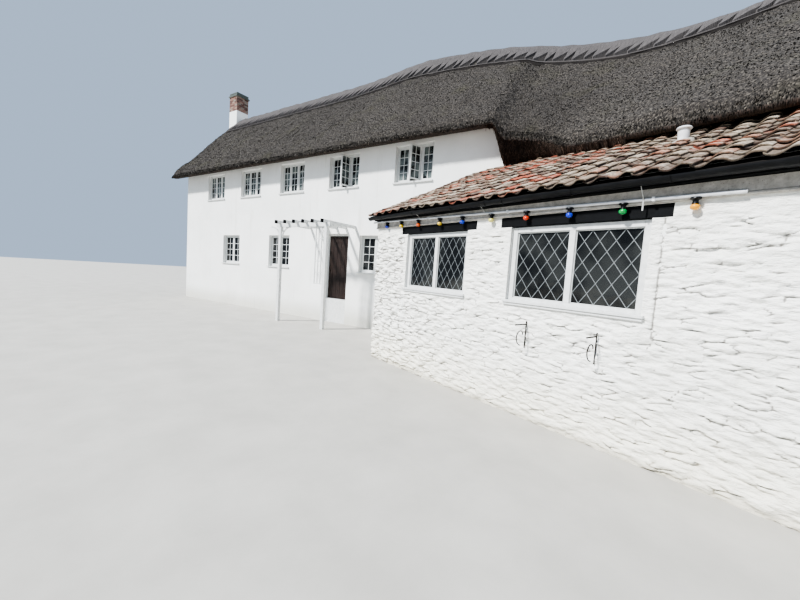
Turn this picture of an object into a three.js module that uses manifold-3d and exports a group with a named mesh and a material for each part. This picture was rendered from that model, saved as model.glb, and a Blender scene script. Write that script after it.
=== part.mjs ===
// A long thatched cottage of two ranges that meet at a slight bend, with a single-storey
// pantiled lean-to along the street. Millimetres, +Z up. X runs along the lean-to's front wall
// to the right, Y runs into the building, and Z = 0 is the lowest ground that the walls reach.
import * as THREE from "three";
import { mergeVertices } from "three/addons/utils/BufferGeometryUtils.js";
import Module from "manifold-3d";

const wasm = await Module();
wasm.setup();

// Plan: the left range is turned toward the street, and the right range lies parallel to it
const TURN = THREE.MathUtils.degToRad(19.3);
const LEFT_START_Y = 2800;
const RIGHT_FRONT_Y = 3300;
const RANGE_DEPTH = 5000;
const WALL = 500;
const LEFT_LENGTH = 13600;
const RIGHT_END_X = 8400;
const FLOOR = 750;
const FLOOR_THICK = 150;
const UPPER_FLOOR = 3350;
const UPPER_FLOOR_THICK = 200;
const SEAM = 0.3;

// Plain blocks start below the ground and end above the roof, before the roof trims them
const BELOW_GROUND = -1000;
const ABOVE_ROOF = 12000;
const PAST = 10;

// Thatch: heights along the ridge line, which turns on an arc at the bend
const BEND_RADIUS = 7100;
const RIDGE_LEFT = 8650;
const RIDGE_RIGHT = 7400;
const RIDGE_DROP_FROM = -3700;
const RIDGE_DROP_TO = 3300;
const HUMP = { at: -5200, half: 1600, rise: 190 };
const LIP_LEFT = 5150;
const LIP_RIGHT = 4310;
const EAVE_REACH = 3050;
const REACH_OVER_TILES = 4150;
const REACH_GROWS = { from: -500, to: 4400 };
const SHOULDER_BACK = 150;
const SHOULDER_RISE = 320;
const FOOT_LEFT = 2900;
const FOOT_BACK = 100;
const UNDER_REACH = 2620;
const UNDER_DROP = 20;
const MIDDLE_UNDER = 1300;
const CLEAR_REACH = 3400;
const THATCH_AT_RIDGE = 550;
const CAP_REACH = 720;
const CAP_THICK = 100;
const CAP_CREST = { half: 150, drop: 40 };
const TEETH = { from: -15405, pairs: 42, pair: 540 };
const TOOTH = { long: 290, short: 190, rib: 30, tall: 340, floor: 35, past: 50 };
const VERGE_OUT = 350;

// Long soft swells of the coat, each a sine across the slope: wavelength, heading and phase
const SWELLS = [
  { length: 1900, turn: 0.35, phase: 0.4 },
  { length: 2300, turn: 1.3, phase: 2.1 },
  { length: 1600, turn: 2.5, phase: 4.0 },
];
const SWELL = { high: 24, parts: 6, rises_in: 0.25, falls_from: 0.75 };
const STATION_GAP = 600;
const STEP_FROM = -1500;
const STEP_TO = -1200;
const BUTT_AT_STEP = 640;
const BUTT_RIGHT = 120;
const BUTT_END = 1500;
const OVER_TILES = 30;

// Lean-to
const LEAN_LENGTH = 8200;
const LEAN_WALL = 400;
const LEAN_FLOOR = 450;
const TILE_TOP = 2925;
const TILE_RISE = 0.48;
const TILE_THICK = 60;
const TILE_EAVE = 200;
const TILE_VERGE = 120;
const GLASS_LOW = 1515;
const FRAME_FACE = 70;
const FRAME_IN = 30;
const SILL = { out: 60, high: 45 };
const LEAN_WINDOWS = [[1011, 2283], [3173, 4620], [5850, 7250]];
const LINTEL_LOW = 2424;
const LINTEL_HIGH = 2554;
const LINTEL_BEARING = 235;
const LINTEL_DEEP = 150;
const LINTEL_OUT = 12;

// Openings of the left range, measured leftwards along its front wall
const UPPER_WINDOWS = [1890, 4390, 6750, 9050, 11350];
const UPPER_WINDOW = { wide: 1200, low: 4200, high: 5200 };
const LOWER_WINDOWS = [3050, 7300, 10200];
const LOWER_WINDOW = { wide: 1100, low: 1650, high: 2750 };
const BACK_LOWER_WINDOWS = [2200, 4700, 7300, 10200];
const RIGHT_BACK_WINDOWS = [2300, 4500, 6700];
const GABLE_WINDOW_WIDE = 900;
const PIER = 100;
const REVEAL = 110;
const WINDOW_DEEP = 70;
const SASH_FACE = 50;
const GLASS_THICK = 8;
const GLASS_LAP = 60;
const DOOR = { from: 4050, to: 5000, high: 2800 };
const DOOR_FRAME = 60;
const DOOR_FRAME_AT = 120;
const DOOR_FRAME_DEEP = 70;
const LEAF_THICK = 45;
const DOOR_CLEAR = 5;
const SWING_CLEAR = 8;
const INNER_DOORWAY = { from: 3900, to: 4850, high: 2750 };

// Each hinge is a pin on the frame's bracket, inside an eye at the end of the leaf's strap
const PIN = { radius: 8, run: 0.3, out: 20, below: 10, above: 6 };
const EYE = { radius: 16, tall: 50 };
const STRAP = { long: 420, thick: 6, inset: 6, set_in: 2 };
const BRACKET = { low: 22, high: 4, inner: 12, inset: 20 };
const HINGE_HEIGHTS = [1150, 2350];

// Chimney, porch and small fittings
const STACK = { wide: 1300, top_wide: 600, deep: 600, shoulder: 4600, neck: 5400, high: 9050, clear: 5 };
const BRICK = { high: 9900, cap: 60, cap_out: 40, flue: 240, flue_deep: 400 };
const PORCH = { right: 3800, left: 5700, out: 1200, post: 95, beam_low: 2850, beam_high: 2970, past: 150 };
const RAFTER = { count: 6, wide: 50, high: 90, out: 1420, notch: 30 };
const TRELLIS = { wide: 360, low: 1250, bar: 25, thick: 24, uprights: 4, rails: 6 };
const GUTTER = { radius: 55, skin: 4, top: 2758 };
const FASCIA = { out: 125, thick: 25, low: 2700, soffit_in: 5 };
const CONDUIT = { radius: 12, y: -70, from: [-100, 2680], to: [5350, 2580] };
const CLIP = { at: [200, 1530, 3060, 4700], half: 10, over: 2, half_high: 6 };
const LAMP_X = [360, 800, 1270, 1790, 2270, 2800, 3340, 3890, 4440, 5020];
const LAMP = { radius: 33, holder: 22, drop: 75, bulb_drop: 95 };
const FLUE = { x: 4470, y: 1330, radius: 75, high: 3745, cap: 100, cap_high: 30, sides: 20 };

// Colours, roughness and metalness as the photograph shows them
const LOOKS = {
  render: [0xe9e8e3, 0.85, 0],
  rubble: [0xe4e2db, 0.9, 0],
  thatch: [0x6a6157, 1, 0],
  ridge: [0x77706a, 1, 0],
  tile: [0x9a7f6c, 0.85, 0],
  black_timber: [0x26262a, 0.7, 0],
  white_timber: [0xf0f0ee, 0.5, 0],
  glazing: [0x2a3136, 0.1, 0],
  brick: [0x7c5547, 0.9, 0],
  boards: [0x6d5b49, 0.8, 0],
  black_plastic: [0x1d1e20, 0.4, 0],
  white_plastic: [0xe6e7e8, 0.4, 0],
  door: [0x2b211c, 0.6, 0],
};

const house = new THREE.Group();

// Adds a named piece, with its own material, to a parent group
function piece(name, geometry, look, parent = house) {
  const [color, roughness, metalness] = LOOKS[look];
  const mesh = new THREE.Mesh(geometry, new THREE.MeshStandardMaterial({ color, roughness, metalness }));
  mesh.name = name;
  parent.add(mesh);
  return mesh;
}

// Joins and cuts
function solid(geometry) {
  const bare = geometry.clone();
  bare.deleteAttribute("normal");
  bare.deleteAttribute("uv");
  const merged = mergeVertices(bare, 1e-3);
  const mesh = new wasm.Mesh({
    numProp: 3,
    vertProperties: new Float32Array(merged.attributes.position.array),
    triVerts: new Uint32Array(merged.index.array),
  });
  return new wasm.Manifold(mesh);
}

function toGeometry(body) {
  const mesh = body.getMesh();
  const geometry = new THREE.BufferGeometry();
  geometry.setAttribute("position", new THREE.BufferAttribute(new Float32Array(mesh.vertProperties), 3));
  geometry.setIndex(new THREE.BufferAttribute(new Uint32Array(mesh.triVerts), 1));
  return geometry;
}

function join(...geometries) {
  return toGeometry(geometries.map(solid).reduce((whole, next) => whole.add(next)));
}

function cut(geometry, ...cutters) {
  return toGeometry(cutters.map(solid).reduce((whole, next) => whole.subtract(next), solid(geometry)));
}

function within(geometry, limit) {
  return toGeometry(solid(geometry).intersect(solid(limit)));
}

// A box from its two opposite corners
function block(x0, x1, y0, y1, z0, z1) {
  const box = new THREE.BoxGeometry(x1 - x0, y1 - y0, z1 - z0);
  return box.translate((x0 + x1) / 2, (y0 + y1) / 2, (z0 + z1) / 2);
}

// A plan outline raised from one height to another
function prism(points, z0, z1) {
  const shape = new THREE.Shape(points.map(([x, y]) => new THREE.Vector2(x, y)));
  return new THREE.ExtrudeGeometry(shape, { depth: z1 - z0, bevelEnabled: false }).translate(0, 0, z0);
}

// An upright outline in (x, z), carried along Y
function upright(points, y0, y1) {
  const shape = new THREE.Shape(points.map(([x, z]) => new THREE.Vector2(x, z)));
  const geometry = new THREE.ExtrudeGeometry(shape, { depth: y1 - y0, bevelEnabled: false });
  return geometry.rotateX(Math.PI / 2).translate(0, y1, 0);
}

function rod(radius, from, to, sides = 12) {
  const start = new THREE.Vector3(...from);
  const span = new THREE.Vector3(...to).sub(start);
  const geometry = new THREE.CylinderGeometry(radius, radius, span.length(), sides);
  geometry.translate(0, span.length() / 2, 0);
  const turn = new THREE.Quaternion().setFromUnitVectors(new THREE.Vector3(0, 1, 0), span.normalize());
  return geometry.applyQuaternion(turn).translate(start.x, start.y, start.z);
}

// The left range's own frame: x to the right along its front wall, y into the building
const leftFrame = new THREE.Matrix4().makeRotationZ(TURN).setPosition(0, LEFT_START_Y, 0);

function leftRange() {
  const group = new THREE.Group();
  group.position.set(0, LEFT_START_Y, 0);
  group.rotation.z = TURN;
  house.add(group);
  return group;
}

function leftPoint(x, y) {
  const point = new THREE.Vector3(x, y, 0).applyMatrix4(leftFrame);
  return [point.x, point.y];
}

// Where a line parallel to the left range's front meets a line parallel to the street front
function corner(depth, y) {
  const along = (y - LEFT_START_Y - depth * Math.cos(TURN)) / Math.sin(TURN);
  return leftPoint(along, depth);
}

function inLeft(geometry) {
  return geometry.applyMatrix4(leftFrame);
}

// The ridge line: straight, then an arc at the bend, then straight. s = 0 is the arc's middle
const HALF_ARC = (BEND_RADIUS * TURN) / 2;
const BEND = corner(RANGE_DEPTH / 2, RIGHT_FRONT_Y + RANGE_DEPTH / 2);
const TANGENT = BEND_RADIUS * Math.tan(TURN / 2);
const ARC_CENTRE = [BEND[0] + TANGENT, BEND[1] - BEND_RADIUS];
const LEFT_END_S = -HALF_ARC - (LEFT_LENGTH + corner(RANGE_DEPTH / 2, BEND[1])[0] / Math.cos(TURN)
  + (RANGE_DEPTH / 2) * Math.tan(TURN) - TANGENT);
const RIGHT_END_S = HALF_ARC + RIGHT_END_X - BEND[0] - TANGENT;

function ridgeFrame(s) {
  const heading = TURN * THREE.MathUtils.clamp((HALF_ARC - s) / (2 * HALF_ARC), 0, 1);
  const past = s < -HALF_ARC ? s + HALF_ARC : Math.max(0, s - HALF_ARC);
  const x = ARC_CENTRE[0] - BEND_RADIUS * Math.sin(heading) + past * Math.cos(heading);
  const y = ARC_CENTRE[1] + BEND_RADIUS * Math.cos(heading) + past * Math.sin(heading);
  return { x, y, heading };
}

function ridgePoint(s, d, z) {
  const { x, y, heading } = ridgeFrame(s);
  return [x - d * Math.sin(heading), y + d * Math.cos(heading), z];
}

const tileTop = (y) => TILE_TOP + TILE_RISE * y;
const fall = (high, low, from, to, s) => high + (low - high) * THREE.MathUtils.smoothstep(s, from, to);
const humpAt = (s) => HUMP.rise * Math.exp(-(((s - HUMP.at) / HUMP.half) ** 2));
const ridgeHeight = (s) => fall(RIDGE_LEFT, RIDGE_RIGHT, RIDGE_DROP_FROM, RIDGE_DROP_TO, s) + humpAt(s);

// Lip, foot of the cut face and underside of the street eave. Past the step it lies on the tiles
// and reaches further out over them, and its cut face gets lower to the right
function frontEave(s) {
  const { clamp, lerp } = THREE.MathUtils;
  const overTilesAt = (d) => tileTop(ridgePoint(s, -d, 0)[1]) + OVER_TILES;
  const step = clamp((s - STEP_FROM) / (STEP_TO - STEP_FROM), 0, 1);
  const reach = fall(EAVE_REACH, REACH_OVER_TILES, REACH_GROWS.from, REACH_GROWS.to, s);
  const footReach = lerp(FOOT_LEFT, reach - FOOT_BACK, step);
  const butt = lerp(BUTT_RIGHT, BUTT_AT_STEP, clamp((BUTT_END - s) / (BUTT_END - STEP_TO), 0, 1));
  const lip = lerp(LIP_LEFT, overTilesAt(reach) + butt, step);
  const foot = lerp(LIP_LEFT + UNDER_DROP / 2, overTilesAt(footReach), step);
  const under = lerp(LIP_LEFT + UNDER_DROP, overTilesAt(UNDER_REACH), step);
  return { reach, lip, footReach, foot, under };
}

function backEave(s) {
  const lip = fall(LIP_LEFT, LIP_RIGHT, RIDGE_DROP_FROM, RIDGE_DROP_TO, s);
  return { reach: EAVE_REACH, lip, under: lip + UNDER_DROP };
}

// Heights of one side's outer face and underside at distance d from the ridge line
function outerAt(s, eave, d) {
  const shoulder = eave.lip + SHOULDER_RISE;
  return THREE.MathUtils.lerp(ridgeHeight(s), shoulder, d / (eave.reach - SHOULDER_BACK));
}

function underAt(s, eave, d) {
  return THREE.MathUtils.lerp(ridgeHeight(s) - THATCH_AT_RIDGE, eave.under, d / UNDER_REACH);
}

// Points of one side's slope between the ridge's edge and the shoulder, lifted by the swells,
// which fade out toward both. side is -1 on the street side and 1 at the back
function slopePoints(s, eave, side) {
  const end = eave.reach - SHOULDER_BACK;
  return Array.from({ length: SWELL.parts - 1 }, (_, i) => {
    const t = (i + 1) / SWELL.parts;
    const d = THREE.MathUtils.lerp(CAP_REACH, end, t);
    const wave = ({ length, turn, phase }) => Math.sin(
      ((s * Math.cos(turn) + side * d * Math.sin(turn)) * 2 * Math.PI) / length + phase);
    const sum = SWELLS.map(wave).reduce((a, b) => a + b, 0);
    const fade = THREE.MathUtils.smoothstep(t, 0, SWELL.rises_in)
      * (1 - THREE.MathUtils.smoothstep(t, SWELL.falls_from, 1));
    return [side * d, outerAt(s, eave, d) + SWELL.high * sum * fade];
  });
}

const STATIONS = [-12500, -9500, -6500, -4300, -3000, -2200, STEP_FROM, STEP_TO, -800, -400, 0, 400, 800,
  1200, BUTT_END, 2000, 2600, 3400, 4400];
const SPLIT = -3000;

// Faces that close a loop, each turned the same way as the loop
function capFaces(loop) {
  const outline = loop.map(([d, z]) => new THREE.Vector2(d, z));
  const turn = Math.sign(THREE.ShapeUtils.area(outline));
  return THREE.ShapeUtils.triangulateShape(outline, []).map(([p, q, r]) => {
    const area = THREE.ShapeUtils.area([outline[p], outline[q], outline[r]]);
    return Math.sign(area) === turn ? [p, q, r] : [r, q, p];
  });
}

// A closed solid through a row of sections. section(s) gives its loop of [d, z] points
function loft(stations, section) {
  const rings = stations.map((s) => section(s).map(([d, z]) => ridgePoint(s, d, z)));
  const count = rings[0].length;
  const index = [];
  for (let i = 0; i + 1 < rings.length; i += 1) {
    for (let j = 0; j < count; j += 1) {
      const [a, b] = [i * count + j, i * count + ((j + 1) % count)];
      const [c, d] = [a + count, b + count];
      index.push(a, b, d, a, d, c);
    }
  }
  const last = (rings.length - 1) * count;
  index.push(...capFaces(section(stations[0])).flatMap(([p, q, r]) => [r, q, p]));
  index.push(...capFaces(section(stations.at(-1))).flatMap((face) => face.map((k) => last + k)));
  const geometry = new THREE.BufferGeometry();
  geometry.setAttribute("position", new THREE.Float32BufferAttribute(rings.flat(2), 3));
  geometry.setIndex(index);
  return facingOut(geometry);
}

// Turns every face round if the solid's volume comes out negative
function facingOut(geometry) {
  const position = geometry.attributes.position;
  const index = geometry.index.array;
  const [a, b, c] = [new THREE.Vector3(), new THREE.Vector3(), new THREE.Vector3()];
  let volume = 0;
  for (let i = 0; i < index.length; i += 3) {
    a.fromBufferAttribute(position, index[i]);
    b.fromBufferAttribute(position, index[i + 1]);
    c.fromBufferAttribute(position, index[i + 2]);
    volume += a.dot(b.cross(c));
  }
  if (volume < 0) {
    for (let i = 0; i < index.length; i += 3) {
      [index[i], index[i + 1]] = [index[i + 1], index[i]];
    }
  }
  return geometry;
}

// The stations from one place to another, with equal steps put into every wide gap
function between(from, to) {
  const ends = [from, ...STATIONS.filter((s) => s > from + 1 && s < to - 1), to];
  const filled = ends.slice(0, -1).flatMap((s, i) => {
    const parts = Math.ceil((ends[i + 1] - s) / STATION_GAP);
    return Array.from({ length: parts }, (_, k) => s + ((ends[i + 1] - s) * k) / parts);
  });
  return [...filled, to];
}

// The street side of the thatch, from its ridge down to the lip and back along the underside
function frontSection(s) {
  const eave = frontEave(s);
  return [
    [-SEAM / 2, ridgeHeight(s)],
    [-CAP_REACH, outerAt(s, eave, CAP_REACH)],
    ...slopePoints(s, eave, -1),
    [SHOULDER_BACK - eave.reach, eave.lip + SHOULDER_RISE],
    [-eave.reach, eave.lip],
    [-eave.footReach, eave.foot],
    [-UNDER_REACH, eave.under],
    [-MIDDLE_UNDER, underAt(s, eave, MIDDLE_UNDER)],
    [-SEAM / 2, ridgeHeight(s) - THATCH_AT_RIDGE],
  ];
}

function backSection(s) {
  const eave = backEave(s);
  return [
    [SEAM / 2, ridgeHeight(s) - THATCH_AT_RIDGE],
    [MIDDLE_UNDER, underAt(s, eave, MIDDLE_UNDER)],
    [UNDER_REACH, eave.under],
    [EAVE_REACH, eave.lip],
    [EAVE_REACH - SHOULDER_BACK, eave.lip + SHOULDER_RISE],
    ...slopePoints(s, eave, 1).reverse(),
    [CAP_REACH, outerAt(s, eave, CAP_REACH)],
    [SEAM / 2, ridgeHeight(s)],
  ];
}

// The raised ridge that lies over both sides
function capSection(s) {
  const front = outerAt(s, frontEave(s), CAP_REACH) + SEAM;
  const back = outerAt(s, backEave(s), CAP_REACH) + SEAM;
  const top = ridgeHeight(s) + SEAM;
  return [
    [CAP_REACH, back],
    [SEAM / 2, top],
    [-SEAM / 2, top],
    [-CAP_REACH, front],
    [-CAP_REACH, front + CAP_THICK],
    [-CAP_CREST.half, top + CAP_THICK - CAP_CREST.drop],
    [0, top + CAP_THICK],
    [CAP_CREST.half, top + CAP_THICK - CAP_CREST.drop],
    [CAP_REACH, back + CAP_THICK],
  ];
}

// The hollows that leave pairs of slanting points along both lower edges of the ridge: each is a
// three-sided block, tallest at its right, whose floor lies a little over the coat
function toothHollows() {
  const hollow = (s, wide, side) => {
    const plan = [[s, CAP_REACH + TOOTH.past], [s + wide, CAP_REACH + TOOTH.past],
      [s + wide, CAP_REACH - TOOTH.tall]];
    const corners = [TOOTH.floor, 2 * CAP_THICK].flatMap((rise) => plan.map(([at, d]) => {
      const eave = side < 0 ? frontEave(at) : backEave(at);
      return ridgePoint(at, side * d, outerAt(at, eave, d) + rise);
    }));
    const geometry = new THREE.BufferGeometry();
    geometry.setAttribute("position", new THREE.Float32BufferAttribute(corners.flat(), 3));
    geometry.setIndex([0, 2, 1, 3, 4, 5, 0, 1, 4, 0, 4, 3, 1, 2, 5, 1, 5, 4, 2, 0, 3, 2, 3, 5]);
    return facingOut(geometry);
  };
  const starts = Array.from({ length: TEETH.pairs }, (_, i) => TEETH.from + i * TEETH.pair);
  return starts.flatMap((s) => [-1, 1].flatMap((side) => [
    hollow(s, TOOTH.long, side),
    hollow(s + TOOTH.long + TOOTH.rib, TOOTH.short, side),
  ]));
}

// Everything under the thatch, just clear of it, which trims the walls to the roof
function underRoof() {
  const section = (s) => {
    const [front, back] = [frontEave(s), backEave(s)];
    const lower = (z) => z - 2 * SEAM;
    return [
      [-CLEAR_REACH, BELOW_GROUND],
      [-CLEAR_REACH, lower(front.under)],
      [-UNDER_REACH, lower(front.under)],
      [-MIDDLE_UNDER, lower(underAt(s, front, MIDDLE_UNDER))],
      [-SEAM / 2, lower(ridgeHeight(s) - THATCH_AT_RIDGE)],
      [SEAM / 2, lower(ridgeHeight(s) - THATCH_AT_RIDGE)],
      [MIDDLE_UNDER, lower(underAt(s, back, MIDDLE_UNDER))],
      [UNDER_REACH, lower(back.under)],
      [EAVE_REACH, lower(back.lip)],
      [CLEAR_REACH, lower(back.lip)],
      [CLEAR_REACH, BELOW_GROUND],
    ];
  };
  return loft(between(LEFT_END_S - 2 * VERGE_OUT, RIGHT_END_S + 2 * VERGE_OUT), section);
}

// What stands on the tiles is cut off along their slope
function overTiles(geometry) {
  return cut(geometry, tileWedge((y) => tileTop(y) + SEAM));
}

// Everything under the tiles, just clear of them
function underTiles() {
  return tileWedge((y) => tileTop(y) - TILE_THICK - SEAM);
}

function tileWedge(low) {
  const [y0, y1] = [-WALL, RIGHT_FRONT_Y + WALL];
  const outline = [[y0, BELOW_GROUND], [y1, BELOW_GROUND], [y1, low(y1)], [y0, low(y0)]];
  const shape = new THREE.Shape(outline.map(([y, z]) => new THREE.Vector2(y, z)));
  const geometry = new THREE.ExtrudeGeometry(shape, { depth: LEAN_LENGTH + 2 * WALL, bevelEnabled: false });
  return geometry.rotateX(Math.PI / 2).rotateZ(Math.PI / 2).translate(-WALL, 0, 0);
}

// Walls of the two ranges

const ROOM = { left: -(LEFT_LENGTH - WALL), right: RIGHT_END_X - WALL };

function windowHole(centre, size, y0, y1) {
  return block(-centre - size.wide / 2, -centre + size.wide / 2, y0, y1, size.low, size.high);
}

// A stretch of the front wall between two distances, or as far as the bend where from is null
function frontStretch(from, to, low, high) {
  const outer = from === null ? corner(0, RIGHT_FRONT_Y) : leftPoint(-from, 0);
  const inner = from === null ? corner(WALL, RIGHT_FRONT_Y + WALL) : leftPoint(-from, WALL);
  return prism([leftPoint(-to, 0), outer, inner, leftPoint(-to, WALL)], low, high);
}

// The wall beside the doorway is wider below the door's head, where it carries the wall above
function leftWalls() {
  const upper = UPPER_WINDOWS.map((a) => [a, windowHole(a, UPPER_WINDOW, -PAST, WALL + PAST)]);
  const lower = LOWER_WINDOWS.map((a) => [a, windowHole(a, LOWER_WINDOW, -PAST, WALL + PAST)]);
  const wallWith = (stretch, test) => {
    const holes = [...upper, ...lower].filter(([a]) => test(a)).map(([, hole]) => inLeft(hole));
    return within(cut(stretch, ...holes), underRoof());
  };
  const overRight = UPPER_WINDOWS[1] - UPPER_WINDOW.wide / 2 - PIER;
  const overLeft = UPPER_WINDOWS[1] + UPPER_WINDOW.wide / 2 + PIER;
  const right = join(frontStretch(null, DOOR.from, 0, DOOR.high - SEAM),
    frontStretch(null, overRight - SEAM, 0, ABOVE_ROOF));
  const left = join(frontStretch(DOOR.to, -ROOM.left - SEAM, 0, DOOR.high - SEAM),
    frontStretch(overLeft + SEAM, -ROOM.left - SEAM, 0, ABOVE_ROOF));
  const over = frontStretch(overRight, overLeft, DOOR.high, ABOVE_ROOF);
  piece("left_front_wall_right_of_door", wallWith(right, (a) => a < overRight), "render");
  piece("left_front_wall_over_door", wallWith(over, (a) => a === UPPER_WINDOWS[1]), "render");
  piece("left_front_wall_left_of_door", wallWith(left, (a) => a > overLeft), "render");

  const gable = prism([leftPoint(-LEFT_LENGTH, 0), leftPoint(ROOM.left, 0), leftPoint(ROOM.left, RANGE_DEPTH),
    leftPoint(-LEFT_LENGTH, RANGE_DEPTH)], 0, ABOVE_ROOF);
  piece("left_gable_wall", within(gable, underRoof()), "render");

  const backY = RANGE_DEPTH - WALL;
  const backStart = ROOM.left + SEAM;
  const back = prism([leftPoint(backStart, backY), corner(backY, RIGHT_FRONT_Y + backY),
    corner(RANGE_DEPTH, RIGHT_FRONT_Y + RANGE_DEPTH), leftPoint(backStart, RANGE_DEPTH)], 0, ABOVE_ROOF);
  const backHoles = [
    ...UPPER_WINDOWS.map((a) => windowHole(a, UPPER_WINDOW, backY - PAST, RANGE_DEPTH + PAST)),
    ...BACK_LOWER_WINDOWS.map((a) => windowHole(a, LOWER_WINDOW, backY - PAST, RANGE_DEPTH + PAST)),
  ];
  piece("left_back_wall", within(cut(back, ...backHoles.map(inLeft)), underRoof()), "render");
}

function rightWalls() {
  const [frontY, backY] = [RIGHT_FRONT_Y, RIGHT_FRONT_Y + RANGE_DEPTH];
  const [outer, inner] = [corner(0, frontY), corner(WALL, frontY + WALL)];
  const end = ROOM.right - SEAM;
  const front = prism([[outer[0] + SEAM, frontY], [end, frontY], [end, frontY + WALL],
    [inner[0] + SEAM, frontY + WALL]], 0, ABOVE_ROOF);
  const doorway = block(INNER_DOORWAY.from, INNER_DOORWAY.to, frontY - PAST, frontY + WALL + PAST, FLOOR,
    INNER_DOORWAY.high);
  piece("right_front_wall", within(cut(front, doorway), underRoof()), "render");

  const gable = block(ROOM.right, RIGHT_END_X, frontY, backY, 0, ABOVE_ROOF);
  const middleY = frontY + RANGE_DEPTH / 2;
  const gableWindow = block(ROOM.right - PAST, RIGHT_END_X + PAST, middleY - GABLE_WINDOW_WIDE / 2,
    middleY + GABLE_WINDOW_WIDE / 2, UPPER_WINDOW.low, UPPER_WINDOW.high);
  piece("right_gable_wall", within(cut(gable, gableWindow), underRoof()), "render");

  const [backInner, backOuter] = [corner(RANGE_DEPTH - WALL, backY - WALL), corner(RANGE_DEPTH, backY)];
  const back = prism([[backInner[0] + SEAM, backY - WALL], [end, backY - WALL], [end, backY],
    [backOuter[0] + SEAM, backY]], 0, ABOVE_ROOF);
  const holes = RIGHT_BACK_WINDOWS.map((x) => block(x - LOWER_WINDOW.wide / 2, x + LOWER_WINDOW.wide / 2,
    backY - WALL - PAST, backY + PAST, LOWER_WINDOW.low, LOWER_WINDOW.high));
  piece("right_back_wall", within(cut(back, ...holes), underRoof()), "render");
}

// Each storey's floor is laid range by range, with its joint at the bend
function floors() {
  const inset = 2 * SEAM;
  const [front, back] = [WALL + inset, RANGE_DEPTH - WALL - inset];
  const bendFront = corner(front, RIGHT_FRONT_Y + front);
  const bendBack = corner(back, RIGHT_FRONT_Y + back);
  const left = [leftPoint(ROOM.left + inset, front), bendFront, bendBack, leftPoint(ROOM.left + inset, back)];
  const right = [[bendFront[0] + inset, bendFront[1]], [ROOM.right - inset, bendFront[1]],
    [ROOM.right - inset, bendBack[1]], [bendBack[0] + inset, bendBack[1]]];
  for (const [range, outline] of [["left", left], ["right", right]]) {
    piece(`ground_floor_${range}`, prism(outline, FLOOR - FLOOR_THICK, FLOOR), "boards");
    piece(`first_floor_${range}`, prism(outline, UPPER_FLOOR - UPPER_FLOOR_THICK, UPPER_FLOOR), "boards");
  }
}

// Roof over the two ranges

function thatch() {
  const [left, right] = [LEFT_END_S - VERGE_OUT, RIGHT_END_S + VERGE_OUT];
  const reach = STACK.top_wide / 2 + STACK.clear;
  const stack = inLeft(block(-LEFT_LENGTH - STACK.deep - STACK.clear, -LEFT_LENGTH + STACK.clear,
    RANGE_DEPTH / 2 - reach, RANGE_DEPTH / 2 + reach, STACK.neck, ABOVE_ROOF));
  piece("thatch_left_front", cut(loft(between(left, SPLIT - SEAM), frontSection), stack), "thatch");
  piece("thatch_left_back", cut(loft(between(left, SPLIT - SEAM), backSection), stack), "thatch");
  piece("thatch_right_front", loft(between(SPLIT, right), frontSection), "thatch");
  piece("thatch_right_back", loft(between(SPLIT, right), backSection), "thatch");
  const hollows = toothHollows();
  const ridge = (from, to) => cut(loft(between(from, to), capSection), ...hollows);
  piece("thatch_ridge_left", ridge(LEFT_END_S + PAST, SPLIT - SEAM), "ridge");
  piece("thatch_ridge_right", ridge(SPLIT, right), "ridge");
}

// The stack stands against the left gable
function chimney() {
  const middle = RANGE_DEPTH / 2;
  const [half, topHalf] = [STACK.wide / 2, STACK.top_wide / 2];
  const rightSide = [[half, 0], [half, STACK.shoulder], [topHalf, STACK.neck], [topHalf, STACK.high]];
  const leftSide = rightSide.map(([x, z]) => [-x, z]).reverse();
  const outline = [...rightSide, ...leftSide];
  const outer = -LEFT_LENGTH - SEAM;
  const stack = upright(outline, 0, STACK.deep).rotateZ(Math.PI / 2).translate(outer, middle, 0);
  const group = leftRange();
  piece("chimney_stack", stack, "render", group);
  const x = outer - STACK.deep / 2;
  const box = (reach, z0, z1) => block(x - reach, x + reach, middle - reach, middle + reach, z0, z1);
  const shaft = join(box(topHalf, STACK.high + SEAM, BRICK.high),
    box(topHalf + BRICK.cap_out, BRICK.high - 3 * BRICK.cap, BRICK.high - 2 * BRICK.cap));
  const flue = box(BRICK.flue / 2, BRICK.high - BRICK.flue_deep, BRICK.high + PAST);
  piece("chimney_brick_top", cut(shaft, flue), "brick", group);
}

// Windows: a frame with lights side by side, and one sheet of glass that it holds
function windowGeometry(wide, high, lights, deep, face) {
  const light = (wide - face * (lights + 1)) / lights;
  const holes = Array.from({ length: lights }, (_, i) => {
    const x = face + i * (light + face);
    return block(x, x + light, -PAST, deep + PAST, face, high - face);
  });
  const frame = cut(block(0, wide, 0, deep, 0, high), ...holes);
  const [y0, y1] = [(deep - GLASS_THICK) / 2, (deep + GLASS_THICK) / 2];
  const glass = block(face / 2, wide - face / 2, y0, y1, face / 2, high - face / 2);
  return join(frame, glass);
}

function leftWindows() {
  const group = leftRange();
  const rows = [["upper", UPPER_WINDOWS, UPPER_WINDOW, 3], ["lower", LOWER_WINDOWS, LOWER_WINDOW, 2]];
  for (const [storey, centres, size, lights] of rows) {
    centres.forEach((a, i) => {
      const geometry = windowGeometry(size.wide - 2 * SEAM, size.high - size.low - 2 * SEAM, lights,
        WINDOW_DEEP, SASH_FACE);
      const mesh = piece(`${storey}_window_${i + 1}`, geometry, "white_timber", group);
      mesh.position.set(-a - size.wide / 2 + SEAM, REVEAL, size.low + SEAM);
    });
  }
}

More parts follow.
